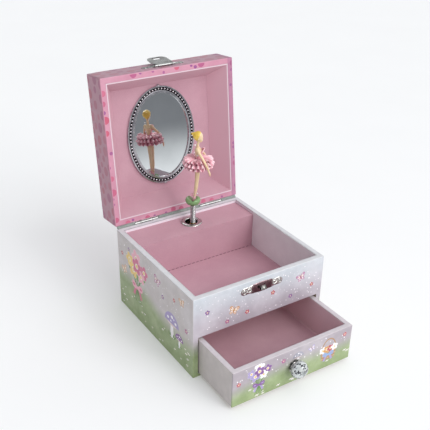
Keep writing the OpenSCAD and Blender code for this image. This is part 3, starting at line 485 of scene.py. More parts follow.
def make_satin():
    """Satin, with a painted shade that darkens the depth of its folds and a painted sheen that makes their crests
    paler.
    """
    s = Shader("satin", rough=0.28, Coat_Weight=0.7, Coat_Roughness=0.12, Anisotropic=0.3)
    base = s.cloud(220, 3, 0.6, (0.3, srgb(226, 160, 174)), (0.65, srgb(236, 176, 188)))
    fold = s.attribute("fold")["Fac"]
    # Painted shade in the folds' depths, and a painted sheen on their crests.
    depth = s.span(fold, 0.08, 0.5, 0.85, 0.0)
    s.color(s.mix(depth, s.mix(s.span(fold, 0.55, 0.9, 0.0, 0.85), base, srgb(255, 226, 231)), srgb(168, 84, 106)))
    s.bump(s.texture("TexWave", Scale=1600.0, Distortion=1.5, Detail=1.0)[1], 0.08, 0.00004)
    return s.mat


def make_mirror():
    s = Shader("mirror_silver", color=(0.86, 0.88, 0.89), rough=0.02, metal=1.0)
    s.uneven(420, 4, 0.7, 0.5, 0.8, 0.015, 0.06)
    s.color(s.cloud(35, 3, 0.5, (0.3, (0.68, 0.71, 0.72)), (0.7, (0.76, 0.79, 0.80))))
    return s.mat


def make_crystal():
    """Clear plastic crystal. The facet attribute gives each facet a tone picked at random, near-black, grey or white:
    painted reflections, the white ones painted glints.
    """
    s = Shader("cut_crystal", rough=0.02, IOR=1.55, Transmission_Weight=0.6)
    s.color(s.attribute("facet")["Color"])
    s.uneven(500, 3, 0.6, 0.45, 0.8, 0.01, 0.05)
    return s.mat


def make_board(name="greyboard", lined_above=None):
    """Bare greyboard, papered above a height where the covering turns in."""
    s = Shader(name, rough=0.85, Specular_IOR_Level=0.2)
    layers = s.texture("Mapping", Scale=(1, 1, 6))[0]
    color = s.ramp(s.noise(220, 4, 0.6, layers), (0.3, srgb(150, 136, 116)), (0.7, srgb(186, 172, 150)))
    if lined_above:
        color = s.mix(s.span(s.parts()[2], lined_above, lined_above + 0.0002), color, srgb(238, 229, 237))
    s.color(color)
    s.grain(900, 3, 0.6, 0.25, 0.00008)
    return s.mat


def make_cloth():
    """Grey book cloth; its grey is a painted shade for the gap behind the hinges."""
    s = Shader("book_cloth", rough=0.85, Specular_IOR_Level=0.2)
    weave = s.texture("TexBrick", Scale=900.0)[1]
    s.color(s.cloud(400, 3, 0.6, (0.3, srgb(136, 142, 138)), (0.7, srgb(158, 164, 160))))
    s.bump(weave, 0.3, 0.00006)
    return s.mat


def make_catch():
    """Bright plating with painted reflections: a dark mauve middle, and dark and bright streaks on the strap."""
    s = Shader("catch_nickel", rough=0.12, metal=1.0)
    p = s.parts()
    strap_reflection_mask = s.span(p[1], -(HALF_D + 2.2) * MM, -(HALF_D + 1.4) * MM, 1.0, 0.0)
    # Painted reflection: the plate is dark mauve in the middle and bright towards the nails.
    plate = s.mix(s.span(s.math("ABSOLUTE", p[0]), 0.0105, 0.0125), srgb(146, 124, 128), srgb(222, 222, 218))
    # Painted reflection: dark and bright streaks across the strap.
    reflection_streaks = s.texture("TexWave", Scale=420.0, Distortion=3.0, Detail=2.0)[1]
    s.color(s.mix(strap_reflection_mask, plate, s.ramp(reflection_streaks, (0.35, srgb(66, 58, 62)), (0.7, srgb(206, 206, 200)))))
    s.uneven(300, 3, 0.6, 0.3, 0.7, 0.08, 0.2)
    s.grain(500, 3, 0.6, 0.05, 0.00004)
    return s.mat


def make_floor():
    """Plain pale floor. In glossy reflections alone it falls off to grey in front of the object, for the dim
    room of the photograph."""
    s = Shader("floor", rough=0.75, Specular_IOR_Level=0.15)
    pale = s.cloud(8, 2, 0.5, (0.3, (0.75, 0.756, 0.764)), (0.7, (0.76, 0.766, 0.774)))
    in_gloss = s.node("LightPath").outputs["Is Glossy Ray"]
    far = s.mul(s.span(s.parts()[1], -0.85, -0.21, 1.0, 0.0), in_gloss)
    s.color(s.mix(far, pale, (0.16, 0.165, 0.18)))
    s.set(Emission_Color=(0.99, 0.995, 1.0, 1))
    s.link(s.span(far, 0.0, 1.0, 0.2, 0.0), s.bsdf.inputs["Emission Strength"])
    s.grain(600, 2, 0.5, 0.02, 0.00005)
    return s.mat


MATS = {
    "body": make_sky_paper("body_print", 0.026, 0.050, srgb(216, 217, 221), slope_y=0.10, rim=0.0885),
    "drawer": make_sky_paper("drawer_print", 0.014, 0.032, srgb(208, 200, 205), slope_x=0.05, rim=0.0426,
                             front=-0.1314),
    "lid": make_lid_paper(),
    "white_paper": make_plain_paper("white_paper", srgb(232, 230, 233), srgb(222, 219, 224)),
    "lining": make_plain_paper("pale_lining", srgb(236, 235, 238), srgb(228, 226, 230)),
    "flock": make_flock(),
    "drawer_flock": make_flock("drawer_flock", srgb(214, 174, 185), srgb(203, 161, 173), painted_light_from=0.0605),
    "recess": make_recess_flock(),
    "nickel": make_metal("nickel", srgb(196, 192, 190), 0.13),
    "aged": make_metal("aged_nickel", srgb(184, 186, 184), 0.2, 700.0, srgb(128, 126, 126), 0.04, 0.12),
    "silver": make_mirror_frame(),
    "steel": make_metal("steel", srgb(214, 214, 214), 0.16),
    "cast": make_metal("cast_metal", srgb(176, 178, 182), 0.5, bump=0.4, spread=0.15),
    "brass": make_metal("brass", srgb(206, 170, 96), 0.28),
    "mirror": make_mirror(),
    "crystal": make_crystal(),
    "board": make_board(),
    "wall_board": make_board("wall_board", (SHELF_Z - 0.8) * MM),
    "pad": make_plastic("green_plastic", srgb(130, 166, 112), 0.4, srgb(112, 150, 98)),
    "skin": make_plastic("skin_plastic", srgb(232, 209, 170), 0.36, srgb(222, 196, 154), 0.2, 0.12),
    "hair": make_plastic("yellow_plastic", srgb(238, 206, 92), 0.32, srgb(224, 186, 70)),
    "shoe": make_plastic("pink_plastic", srgb(238, 176, 188), 0.35),
    "pearl": make_plastic("pearl", srgb(244, 240, 236), 0.15, srgb(226, 220, 220), 0.6),
    "satin": make_satin(),
    "cloth": make_cloth(),
    "catch": make_catch(),
    "floor": make_floor(),
    "crease": make_plain_paper("crease_shadow", srgb(120, 78, 92), srgb(104, 66, 80)),
    "foil": make_metal("mirror_foil", srgb(232, 232, 236), 0.06, bump=0.0, spread=0.03),
    "eye": make_plastic("eye_paint", srgb(70, 54, 48), 0.3),
    "lip": make_plastic("lip_paint", srgb(206, 96, 104), 0.35),
}

NODE_MATS = {
    "wall_board": "left_wall right_wall front_wall rear_wall",
    "board": "compartment_floor well_board shelf_board drawer_floor lid_front lid_rear lid_left lid_right lid_top "
             "drawer_front drawer_left drawer_right drawer_back",
    "white_paper": "base_board",
    "lining": "wall_lining",
    "flock": "floor_lining shelf_lining",
    "drawer_flock": "drawer_lining",
    "recess": "lid_recess",
    "catch": "catch_plate",
    "nickel": "shelf_ring catch_nails knob_rosette winding_key movement_screws",
    "aged": "left_body_leaf right_body_leaf left_hinge_pin right_hinge_pin body_leaf_nails left_lid_leaf "
            "right_lid_leaf lid_leaf_nails latch_plate latch_nails latch_pin latch_flap",
    "silver": "mirror_frame",
    "steel": "comb comb_screws governor_frame winding_arbor knob_screw",
    "cast": "bedplate",
    "brass": "spring_barrel music_cylinder spindle_socket governor_wheel governor_fan",
    "mirror": "mirror_glass",
    "crystal": "crystal_knob",
    "pad": "dancer_pad",
    "skin": "dancer_figure",
    "hair": "dancer_hair",
    "satin": "dancer_skirt post_spring",
}
for key, names in NODE_MATS.items():
    for n in names.split():
        nodes[n].data.materials.clear()
        nodes[n].data.materials.append(MATS[key])

# ---------- printed motifs: lists of (points, colour) in mm ----------

WHITE = srgb(250, 246, 250)
PURPLE, LILAC, MAGENTA = srgb(138, 92, 156), srgb(172, 158, 204), srgb(178, 92, 146)
RED, ORANGE, YELLOW = srgb(190, 84, 100), srgb(214, 156, 88), srgb(240, 206, 124)
ROSE, PINK, BLUE = srgb(214, 112, 146), srgb(240, 178, 194), srgb(146, 178, 220)
LEAF, DARK_LEAF, BROWN, GREY = srgb(134, 166, 96), srgb(104, 138, 78), srgb(176, 140, 108), srgb(170, 168, 182)


def ellipse(x, y, a, b, rot=0.0, n=14):
    c, s = cos(rot), sin(rot)
    return [(x + a * u * c - b * v * s, y + a * u * s + b * v * c) for u, v in circle(n)]


def half_ellipse(x, y, a, b):
    return [(x + a * cos(t), y + b * sin(t)) for t in (pi * k / 14 for k in range(15))]


def place(shapes, x, y, k=1.0, rot=0.0):
    """Shapes about the origin, scaled, turned and moved."""
    c, s = cos(rot), sin(rot)
    return [([(x + k * (px * c - py * s), y + k * (px * s + py * c)) for px, py in points], color)
            for points, color in shapes]


def handed(points, side):
    """The same outline on the left or right, anticlockwise both times."""
    points = [(side * px, py) for px, py in points]
    return points if side < 0 else points[::-1]


def flower(x, y, r, color, rot=0.0):
    out, edge, petals = [], WHITE, 5
    r *= 1.12
    for grow, paint in ((1.12, tuple(0.6 * c + 0.4 * e for c, e in zip(color, edge))), (1.0, color)):
        for t in (rot + tau * k / petals for k in range(petals)):
            at = x + 0.56 * r * cos(t), y + 0.56 * r * sin(t)
            out.append((ellipse(*at, 0.44 * r * grow, 0.36 * r * grow, t, 10), paint))
    return out + [(ellipse(x, y, 0.34 * r, 0.34 * r, 0, 10), edge), (ellipse(x, y, 0.25 * r, 0.25 * r, 0, 8), YELLOW)]


def butterfly(x, y, s, color, rot=0.0):
    out = []
    for side in (-1, 1):
        for grow, paint in ((1.16, color), (0.78, WHITE)):
            for cx, cy, a, b, t in ((0.52, 0.34, 0.56, 0.34, 0.75), (0.38, -0.34, 0.38, 0.25, -0.9)):
                out.append((ellipse(side * cx, cy, a * grow, b * grow, t if side > 0 else pi - t), paint))
        out += [(ellipse(side * 0.66, 0.46, 0.2, 0.13, 0.75 * side, 10), color),
                (ellipse(side * 0.38, 0.2, 0.16, 0.08, 0.75 * side, 10), YELLOW),
                (ellipse(side * 0.42, -0.4, 0.15, 0.1, 0, 8), color),
                (handed([(0.04, 0.5), (0.2, 0.86), (0.26, 0.84), (0.09, 0.48)], side), BROWN)]
    return place(out + [(ellipse(0, 0.02, 0.07, 0.5, 0, 10), BROWN)], x, y, s, rot)


def clover(x, y, s):
    out = []
    for dx, dy, r in ((-1.3, 0.1, 0.52), (-0.45, 0.75, 0.62), (0.5, 0.3, 0.6), (1.35, 0.85, 0.5), (0.1, -0.35, 0.36)):
        out += [(ellipse(x + s * dx, y + s * dy, s * r, s * r * 0.86, 0.2, 9), WHITE),
                (ellipse(x + s * dx, y + s * dy, s * r * 0.3, s * r * 0.3, 0, 7), YELLOW)]
    return out


def heart(x, y, s, color, rot=0.0):
    line = [(16 * sin(t) ** 3, 13 * cos(t) - 5 * cos(2 * t) - 2 * cos(3 * t) - cos(4 * t))
            for t in (tau * k / 24 for k in range(24))]
    return place([([(0.0625 * u, 0.0625 * v) for u, v in line], color)], x, y, s, rot)


def leaf(x, y, length, width, rot, color=LEAF):
    line = [(length * k / 8, width * sin(pi * k / 8)) for k in range(9)]
    line += [(length * k / 8, -width * sin(pi * k / 8)) for k in range(7, 0, -1)]
    return place([(line, color)], x, y, 1, rot)


def stem(x0, y0, x1, y1, w):
    dx, dy = x1 - x0, y1 - y0
    n = hypot(dx, dy)
    px, py = -dy / n * w / 2, dx / n * w / 2
    return [([(x0 - px, y0 - py), (x0 + px, y0 + py), (x1 + px * 0.7, y1 + py * 0.7), (x1 - px * 0.7, y1 - py * 0.7)],
             DARK_LEAF)]


def bow(x, y, s, color, dark):
    out = []
    for side in (-1, 1):
        tail = [(0, 0), (0.35, -0.5), (0.62, -1.25), (0.86, -1.02), (1.04, -1.2), (0.72, -0.4)]
        loop = [(0, 0.1), (0.5, 0.52), (1.0, 0.56), (1.16, 0.2), (1.0, -0.2), (0.5, -0.3), (0, -0.12)]
        out += [(handed(tail, side), dark), (handed(loop, side), color),
                (ellipse(side * 0.72, 0.14, 0.26, 0.13, 0.1 * side, 10), dark)]
    return place(out + [(ellipse(0, 0, 0.2, 0.22, 0, 10), color)], x, y, s)


def bouquet(x, y, s, colors, ribbon, ribbon_dark, seed):
    r = random.Random(seed)
    out = []
    heads = [(-0.62, 0.62), (0.0, 0.95), (0.66, 0.58), (-0.3, 0.28), (0.36, 0.22), (0.02, 0.58)]
    for hx, hy in heads:
        out += stem(x + s * hx * 0.05, y - s * 0.55, x + s * hx, y + s * hy, 0.06 * s)
    for k, a in enumerate((2.7, 2.2, 0.9, 0.4, 1.9, 1.2)):
        out += leaf(x, y - 0.1 * s, s * (0.85 + 0.08 * (k % 3)), 0.13 * s, a, LEAF if k % 2 else DARK_LEAF)
    for k in (-2, -1, 0, 1, 2):
        out += stem(x, y - 0.5 * s, x + 0.16 * s * k, y - 1.25 * s, 0.06 * s)
    for k, (hx, hy) in enumerate(heads):
        out += flower(x + s * hx, y + s * hy, s * (0.36 if k % 2 else 0.3), colors[k % len(colors)], r.random() * 2)
    return out + bow(x, y - 0.5 * s, 0.42 * s, ribbon, ribbon_dark)


def toadstool(x, y, s, cap):
    out = [([(x - 0.2 * s, y - 0.95 * s), (x + 0.22 * s, y - 0.95 * s), (x + 0.14 * s, y), (x - 0.14 * s, y)], WHITE),
           (ellipse(x, y - 0.02 * s, 0.5 * s, 0.12 * s, 0, 16), srgb(232, 214, 214)),
           (half_ellipse(x, y, s * 0.8, s * 0.72), cap)]
    for dx, dy, r in ((-0.42, 0.26, 0.11), (0.02, 0.46, 0.13), (0.42, 0.2, 0.12), (-0.1, 0.16, 0.08),
                      (0.24, 0.4, 0.06)):
        out.append((ellipse(x + s * dx, y + s * dy, s * r, s * r * 0.8, 0, 10), WHITE))
    for k in (-2, -1, 1, 2):
        out += leaf(x + 0.1 * s * k, y - 0.98 * s, 0.42 * s, 0.05 * s, 1.57 - 0.35 * k, DARK_LEAF)
    return out


def basket(x, y, s, ribbon, ribbon_dark, colors):
    handle = half_ellipse(x, y, 0.62 * s, 0.95 * s) + half_ellipse(x, y, 0.53 * s, 0.85 * s)[::-1]
    side = [(x - 0.5 * s, y - 0.7 * s), (x + 0.5 * s, y - 0.7 * s), (x + 0.66 * s, y), (x - 0.66 * s, y)]
    out = [(handle, BROWN), (side, BROWN)]
    for row in range(3):
        for k in range(5):
            cx = x + (k - 2 + 0.25 * (row % 2)) * 0.24 * s
            out.append((ellipse(cx, y - (0.14 + 0.22 * row) * s, 0.1 * s, 0.06 * s, 0, 8), srgb(202, 168, 134)))
    for k, dx in enumerate((-0.48, -0.16, 0.16, 0.48)):
        out += flower(x + dx * s, y + 0.12 * s, 0.25 * s, colors[k % len(colors)], k)
    return out + bow(x, y - 0.34 * s, 0.4 * s, ribbon, ribbon_dark)


def specks(seed, count, u0, u1, v0, v1):
    r = random.Random(seed)
    return [(ellipse(r.uniform(u0, u1), r.uniform(v0, v1), rad, rad, 0, 7), WHITE)
            for rad in (r.uniform(0.25, 0.75) for _ in range(count))]


def scatter(draw, *rows):
    """One motif for each row of arguments."""
    return [shape for row in rows for shape in draw(*row)]


def clovers(seed, count, u0, u1, v0, v1):
    r = random.Random(seed)
    return scatter(clover, *((r.uniform(u0, u1), r.uniform(v0, v1), r.uniform(0.8, 1.25)) for _ in range(count)))


def strewn(seed, u0, u1, v0, v1, flowers, butterflies):
    """Flowers, then butterflies, at random places well apart."""
    r, out, taken = random.Random(seed), [], []
    for i, color in enumerate(flowers + butterflies):
        for _ in range(60):
            u, v = r.uniform(u0 + 4, u1 - 4), r.uniform(v0 + 4, v1 - 4)
            if all(hypot(u - a, v - b) > 13 for a, b in taken):
                break
        taken.append((u, v))
        if i < len(flowers):
            out += flower(u, v, r.uniform(1.9, 2.4), color, r.random() * 2)
        else:
            out += butterfly(u, v, r.uniform(4.2, 5.2), color, r.uniform(-0.6, 0.6))
    return out


def lid_dots(seed, count, u0, u1, v0, v1, sizes=(1.8, 2.8, 3.4, 4.2), gap=1.3, tall=1.0):
    r, out, taken, tries = random.Random(seed), [], [], count * 14
    large = [srgb(202, 96, 122), srgb(198, 104, 134), srgb(186, 96, 138), srgb(206, 112, 140)]
    small = [srgb(158, 86, 146), srgb(172, 98, 148)]
    for attempt in range(tries):  # the two larger sizes first, well apart, then the smaller between them
        if len(taken) >= count:
            break
        early = attempt < tries // 4
        rad = r.choice(sizes[2:] if early else sizes[:2])
        u, v = r.uniform(u0, u1), r.uniform(v0, v1)
        if all(hypot(u - a, v - b) > rad + c + gap * (2 if early else 1) for a, b, c in taken):
            taken.append((u, v, rad))
            color = r.choice(large if rad > 2 else small)
            out.append((ellipse(u, v, rad * tall, rad * 0.94, 0.0 if tall > 1 else r.random(), 18), color))
    return out


# ---------- paper wrapped over boards ----------

EDGE = 0.05  # motifs end this far inside a panel


def clip(points, u0, u1, v0, v1):
    """A polygon cut to a rectangle."""
    for axis, bound, way in ((0, u0, 1), (0, u1, -1), (1, v0, 1), (1, v1, -1)):
        out = []
        for i, p in enumerate(points):
            q = points[i - 1]
            inside, before = ((c[axis] - bound) * way >= 0 for c in (p, q))
            if inside != before:
                other = q[1 - axis] + (p[1 - axis] - q[1 - axis]) * (bound - q[axis]) / (p[axis] - q[axis])
                out.append((other, bound) if axis else (bound, other))
            if inside:
                out.append(p)
        points = out
        if len(points) < 3:
            return []
    return points


def well_inside(outline, p):
    for a, b in zip(outline, outline[1:] + outline[:1]):
        dx, dy = b[0] - a[0], b[1] - a[1]
        if (dx * (p[1] - a[1]) - dy * (p[0] - a[0])) / hypot(dx, dy) < EDGE:
            return False
    return True


class Wrap:
    """Builds one covering: flat printed panels joined by rounded edges."""

    def __init__(self):
        self.verts, self.index, self.faces, self.colors = [], {}, [], []

    def vert(self, p):
        key = tuple(round(c, 3) for c in p)
        if key not in self.index:
            self.index[key] = len(self.verts)
            self.verts.append(Vector(p))
        return self.index[key]

    def face(self, points, color=None):
        ids = list(dict.fromkeys(self.vert(p) for p in points))
        if len(ids) > 2:
            self.faces.append(ids)
            self.colors.append(color)

    def panel(self, where, outline, motifs=(), holes=()):
        """A flat panel: where maps (u, v) to a point, outline runs anticlockwise seen from outside."""
        verts, faces, paints = [], [], []

        def add(points, paint):
            faces.append(list(range(len(verts), len(verts) + len(points))))
            verts.extend(Vector(p) for p in points)
            paints.append(paint)

        us, vs = zip(*outline)
        add(outline, None)
        for points in holes:
            add(points, "hole")
        for points, color in motifs:
            points = clip(points, min(us) + EDGE, max(us) - EDGE, min(vs) + EDGE, max(vs) - EDGE)
            if not points or (abs(us[0] - us[3]) > 0.01 and not all(well_inside(outline, p) for p in points)):
                continue
            area = sum(a[0] * b[1] - b[0] * a[1] for a, b in zip(points, points[1:] + points[:1]))
            add(points[::-1] if area < 0 else points, color)  # the triangulation needs them anticlockwise
        cv, _, cf, _, _, origin = delaunay_2d_cdt(verts, [], faces, 1, 1e-5, True)
        for f, owners in zip(cf, origin):
            top = [paints[o] for o in sorted(owners)]
            if top and "hole" not in top:
                self.face([where(*cv[i]) for i in f], top[-1])

    def build(self, name, body, mat, matrix=None, slot=None):
        obj = new_object(name, self.verts, self.faces, None, mat, matrix, smooth=False, slot=slot)
        values = []
        for p in obj.data.polygons:
            c = self.colors[p.index]
            values += list((*c, 1.0) if c else (1.0, 1.0, 1.0, 0.0)) * len(p.vertices)
        obj.data.color_attributes.new("print", "FLOAT_COLOR", "CORNER").data.foreach_set("color", values)
        solidify(obj, "thickness", 0.2, -1)
        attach(obj, body)
        return obj


CORNER_STEPS = 4


def corner_loop(hx, hy, inset, radius, z):
    """Points round a rounded rectangle, anticlockwise from the front right corner."""
    r = max(radius - inset, 0.02)
    out = []
    for k, (sx, sy) in enumerate(((1, -1), (1, 1), (-1, 1), (-1, -1))):
        cx, cy = sx * (hx - inset - r), sy * (hy - inset - r)
        for i in range(CORNER_STEPS + 1):
            t = radians(-90 + 90 * k + 90 * i / CORNER_STEPS)
            out.append(Vector((cx + r * cos(t), cy + r * sin(t), z)))
    return out


def wrap_box(name, body, mat, hx, hy, z_open, z_far, lip, radius, sides, holes={}, center=(0.0, 0.0), rims={},
             floor=None, up=True, turn_in=0.5, matrix=None, slot=None):
    """A covering of four sides and a rim. The open rim is at z_open; sides and holes are by side, rims by rim.
    up is True where the rim faces up. floor, if given, holds the motifs of a closed panel at z_far."""
    wrap, off, way = Wrap(), Vector((*center, 0)), 1 if up else -1
    arc = [(radius * (1 - cos(a)), radius * (1 - sin(a)))
           for a in (radians(90 * i / CORNER_STEPS) for i in range(CORNER_STEPS + 1))]
    near = [corner_loop(hx, hy, inset, radius, z_open - way * drop) for inset, drop in arc]
    far = [corner_loop(hx, hy, 0, radius, z_far)]
    if floor is not None:
        far = [corner_loop(hx, hy, inset, radius, z_far + way * drop) for inset, drop in arc]

    def quads(low, high, first=0, last=None):
        n = len(low)
        for i in range(first, n if last is None else last):
            j = (i + 1) % n
            points = [p + off for p in (low[i], low[j], high[j], high[i])]
            wrap.face(points if up else points[::-1])

    for bands in (near, far[::-1]):
        for low, high in zip(bands, bands[1:]):
            quads(low, high)
    for k in range(4):
        corner = k * (CORNER_STEPS + 1)
        quads(far[0], near[0], corner, corner + CORNER_STEPS)
    # each side: the way along it seen from outside, half its length, and how far it stands from the middle
    frames = {"right": ((0, 1), hy, hx), "rear": ((-1, 0), hx, hy), "left": ((0, -1), hy, hx),
              "front": ((1, 0), hx, hy)}
    z_low, z_high = sorted((z_far + (way * radius if floor is not None else 0), z_open - way * radius))
    for side, ((ax, ay), half, depth) in frames.items():
        def where(u, v, ax=ax, ay=ay, depth=depth):
            return Vector((ay * depth + ax * u * way, -ax * depth + ay * u * way, v)) + off

        reach = half - radius
        wrap.panel(where, [(-reach, z_low), (reach, z_low), (reach, z_high), (-reach, z_high)],
                   sides.get(side, ()), holes.get(side, ()))
    for side, ((ax, ay), half, depth) in frames.items():  # a trapezoid from the rounded edge in to the lip
        def where_rim(u, v, ax=ax, ay=ay, depth=depth):
            p = Vector((ay, -ax, 0)) * (depth - v) + Vector((ax, ay, 0)) * u
            return Vector((p.x, p.y, z_open)) + off

        reach = half - radius
        rim = Wrap()
        rim.panel(where_rim, [(-reach, radius), (reach, radius), (half - lip, lip), (lip - half, lip)],
                  rims.get(side, ()))
        for f, c in zip(rim.faces, rim.colors):
            wrap.face([rim.verts[i] for i in (f if up else f[::-1])], c)
    quads(corner_loop(hx, hy, lip, 0, z_open), corner_loop(hx, hy, lip, 0, z_open - way * turn_in))
    if floor is not None:
        x, y = hx - radius, hy - radius
        wrap.panel(lambda u, v: Vector((u, v, z_far)) + off, [(-x, -y), (x, -y), (x, y), (-x, y)], floor)
    return wrap.build(name, body, mat, matrix, slot)


# Body
front = specks(3, 150, -72, 72, 48, 84)
front += scatter(flower, (-60, 70, 2.4, PURPLE, 0.3), (-15.5, 55, 2.3, RED, 0.8), (14, 66.5, 2.3, RED, 0.1),
                 (36, 55, 2.2, PURPLE, 1.0), (-38, 52, 2.2, MAGENTA, 0.4), (62, 60, 2.1, RED, 0.6))
front += scatter(butterfly, (-31, 62, 5.4, ORANGE, -0.35), (47.5, 72.5, 5.2, MAGENTA, 0.3))
opening = [(-IN_X, 3.4), (IN_X, 3.4), (IN_X, 45.5), (-IN_X, 45.5)]

left = clovers(5, 26, -70, 72, 3, 26) + specks(6, 90, -72, 72, 40, 84)
left += scatter(flower, (-66, 66, 2.3, RED, 0.5), (20, 60, 2.2, PURPLE, 0.2), (42, 69, 2.1, RED, 0.9),
                (64, 47, 2.4, MAGENTA, 0.1), (-50, 78, 2.0, PURPLE, 0.3))
left += scatter(butterfly, (-62, 48, 5.6, ORANGE, 0.5), (9, 72, 6.0, MAGENTA, -0.3), (56, 74, 4.6, ORANGE, 0.2))
left += bouquet(-34, 52, 24, [YELLOW, PINK, ROSE], PINK, ROSE, 2)
left += scatter(toadstool, (37, 39, 17, LILAC), (51, 28, 9.5, PURPLE))

right = clovers(8, 22, -72, 72, 3, 22) + specks(9, 90, -72, 72, 40, 84)
right += bouquet(28, 50, 17, [LILAC, WHITE, PURPLE], PURPLE, LILAC, 4) + toadstool(-34, 34, 14, ROSE)
right += basket(-4, 40, 13, BLUE, LILAC, [RED, WHITE, YELLOW])
right += scatter(butterfly, (-56, 66, 5.5, MAGENTA, 0.4), (54, 72, 5, ORANGE, -0.4))
right += scatter(flower, (-20, 72, 2.3, RED), (8, 76, 2.1, PURPLE, 0.6), (60, 50, 2.2, MAGENTA, 0.2),
                 (-64, 42, 2.2, PURPLE, 0.9)) + toadstool(-48, 24, 8, ORANGE)

rear = clovers(12, 22, -72, 72, 3, 20) + specks(13, 110, -72, 72, 34, 84)
rear += strewn(14, -70, 70, 40, 84, [RED, PURPLE, MAGENTA, RED, PURPLE, ORANGE], [ORANGE, MAGENTA, LILAC])
rear += scatter(bow, (-46, 44, 9, PINK, ROSE), (46, 44, 9, LILAC, PURPLE))

body_paper = wrap_box("body_paper", "box", "body", HALF_W + PAPER, HALF_D + PAPER, BODY_H + PAPER, 0.05, BOARD + 0.3,
                      0.8, {"front": front, "left": left, "right": right, "rear": rear},
                      {"front": [opening], "rear": [ellipse(-SPIN_X, 30, 4, 4, 0, 24)]}, slot="board_paper")

# Lid, written closed and swung open
lid_top = lid_dots(40, 260, -ART_X, ART_X, -ART_Y, ART_Y)
lid_top += [(ellipse(0, 0, 40, 46, 0, 64), WHITE), (ellipse(0, 0, 38.6, 44.6, 0, 64), srgb(244, 214, 226))]
lid_top += bouquet(0, 4, 24, [ROSE, WHITE, LILAC], ROSE, MAGENTA, 9)
lid_top += scatter(butterfly, (-24, 26, 6, ORANGE, 0.5), (24, -24, 6, MAGENTA, -0.4))
lid_top += scatter(heart, (-22, -20, 3, ROSE, 0.3), (23, 22, 2.6, ROSE, -0.3))
lid_sides, lid_rims = {}, {}
for k, side in enumerate(("front", "right", "rear", "left")):
    lid_sides[side] = lid_dots(30 + k, 160, -ART_X, ART_X, LID_Z, LID_Z + LID_H, (2.7, 3.3, 4.1, 4.7), 1.9, 1.1)
    lid_rims[side] = lid_dots(50 + k, 260, -72, 72, 0.4, 5.8, (1.5, 1.9, 3.0, 3.9), 1.6)
lid_paper = wrap_box("lid_paper", "lid", "lid", HALF_W + PAPER, HALF_D + PAPER, LID_Z - PAPER, LID_Z + LID_H + PAPER,
                     BOARD + 0.5, 0.8, lid_sides, rims=lid_rims, floor=lid_top, up=False, turn_in=0.22, matrix=LID,
                     slot="lid_paper")

# Drawer
front = clovers(21, 15, -66, 66, 5, 16) + specks(22, 50, -66, 66, 22, 40)
front += bouquet(-40, 24.5, 14.0, [LILAC, WHITE, PURPLE], PURPLE, LILAC, 5) + flower(-62, 27, 2.2, RED, 0.4)
front += basket(41, 23.5, 15, BLUE, LILAC, [WHITE, ORANGE, RED]) + flower(-13, 33, 2.2, MAGENTA, 0.5)
front += flower(60, 35, 2.2, RED, 0.2) + toadstool(4, 31, 8, GREY) + butterfly(20, 34, 3.8, LILAC, 0.4)
wrap_box("drawer_paper", "drawer", "drawer", DRAWER_X + DRAWER_PAPER, (DRAWER_Y1 - DRAWER_Y0) / 2 + DRAWER_PAPER,
         DRAWER_Z0 + DRAWER_H + DRAWER_PAPER, DRAWER_Z0 + 0.1, 5.35, 0.7, {"front": front},
         center=(0, (DRAWER_Y0 + DRAWER_Y1) / 2), slot="drawer_paper")

# ---------- cloth that closes the gap between the hinges ----------


def hinge_cloth(name, x0, x1):
    """A strip glued to the back of the body and of the lid, which passes through the hinge axis. Its grey paints the
    shade in the gap between the hinges.
    """
    low = [(76.40, 83.6), (76.40, 85.6), (76.42, 87.3), (76.75, 87.95), (77.4, 88.18), (PIN_Y, PIN_Z)]
    high = [(77.4, 88.46), (76.75, 88.68), (76.42, 89.3), (76.40, 91.2), (76.40, 93.2)]
    line = [Vector((0, *p)) for p in low] + [LID @ Vector((0, *p)) for p in high]
    count = max(6, round((x1 - x0) / 2.5))
    verts = [(x0 + (x1 - x0) * i / count, q.y, q.z) for i in range(count + 1) for q in line]
    obj = new_object(name, verts, grid_faces(count + 1, len(line)), None, "cloth", slot="board_paper")
    solidify(obj, "cloth", 0.16)
    apply_modifiers(obj)
    wide = sum((b - a).length for a, b in zip(line, line[1:]))
    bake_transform(obj)


hinge_cloth("hinge_cloth_left", -74.0, -54.2)
hinge_cloth("hinge_cloth_middle", -25.8, 25.8)
hinge_cloth("hinge_cloth_right", 54.2, 74.0)

# ---------- crease where the shelf's covering meets the floor's: dark bars that paint its shadow ---


def bar(x0, x1, y0, y1, z0, z1, nose=0.12):
    """A small bar along X with chamfered upper front edge."""
    v = [(x, y, z) for x in (x0, x1) for y, z in ((y0, z0), (y0, z1 - nose), (y0 + nose, z1), (y1, z1), (y1, z0))]
    return v, [(4, 3, 2, 1, 0), (5, 6, 7, 8, 9)] + [((k + 1) % 5, (k + 1) % 5 + 5, k + 5, k) for k in range(5)]


shadow_dashes = [bar(x, x + 3.1, WELL_Y - 0.42, WELL_Y - 0.02, FLOOR_Z + 0.02, FLOOR_Z + 0.42)
            for x in (-68.4 + 5.0 * k for k in range(27)) if x + 3.1 < 68.6]
new_object("well_crease", *joined(shadow_dashes), "box", "crease", smooth=False, slot="pink_flock")

# ---------- spring post ----------

turns, per_turn, coil_r, wire_r, z0, z1 = 21.5, 24, 2.4, 0.485, 84.05, 105.5
coil = [(SPIN_X + coil_r * cos(tau * k / per_turn), SPIN_Y + coil_r * sin(tau * k / per_turn),
         z0 + (z1 - z0) * k / (turns * per_turn)) for k in range(int(turns * per_turn) + 1)]
spring = new_object("wound_spring", *tube(coil, wire_r, 8), None, "steel", slot="nickel")
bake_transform(spring)
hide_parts("post_spring")

# ---------- catch plate ----------


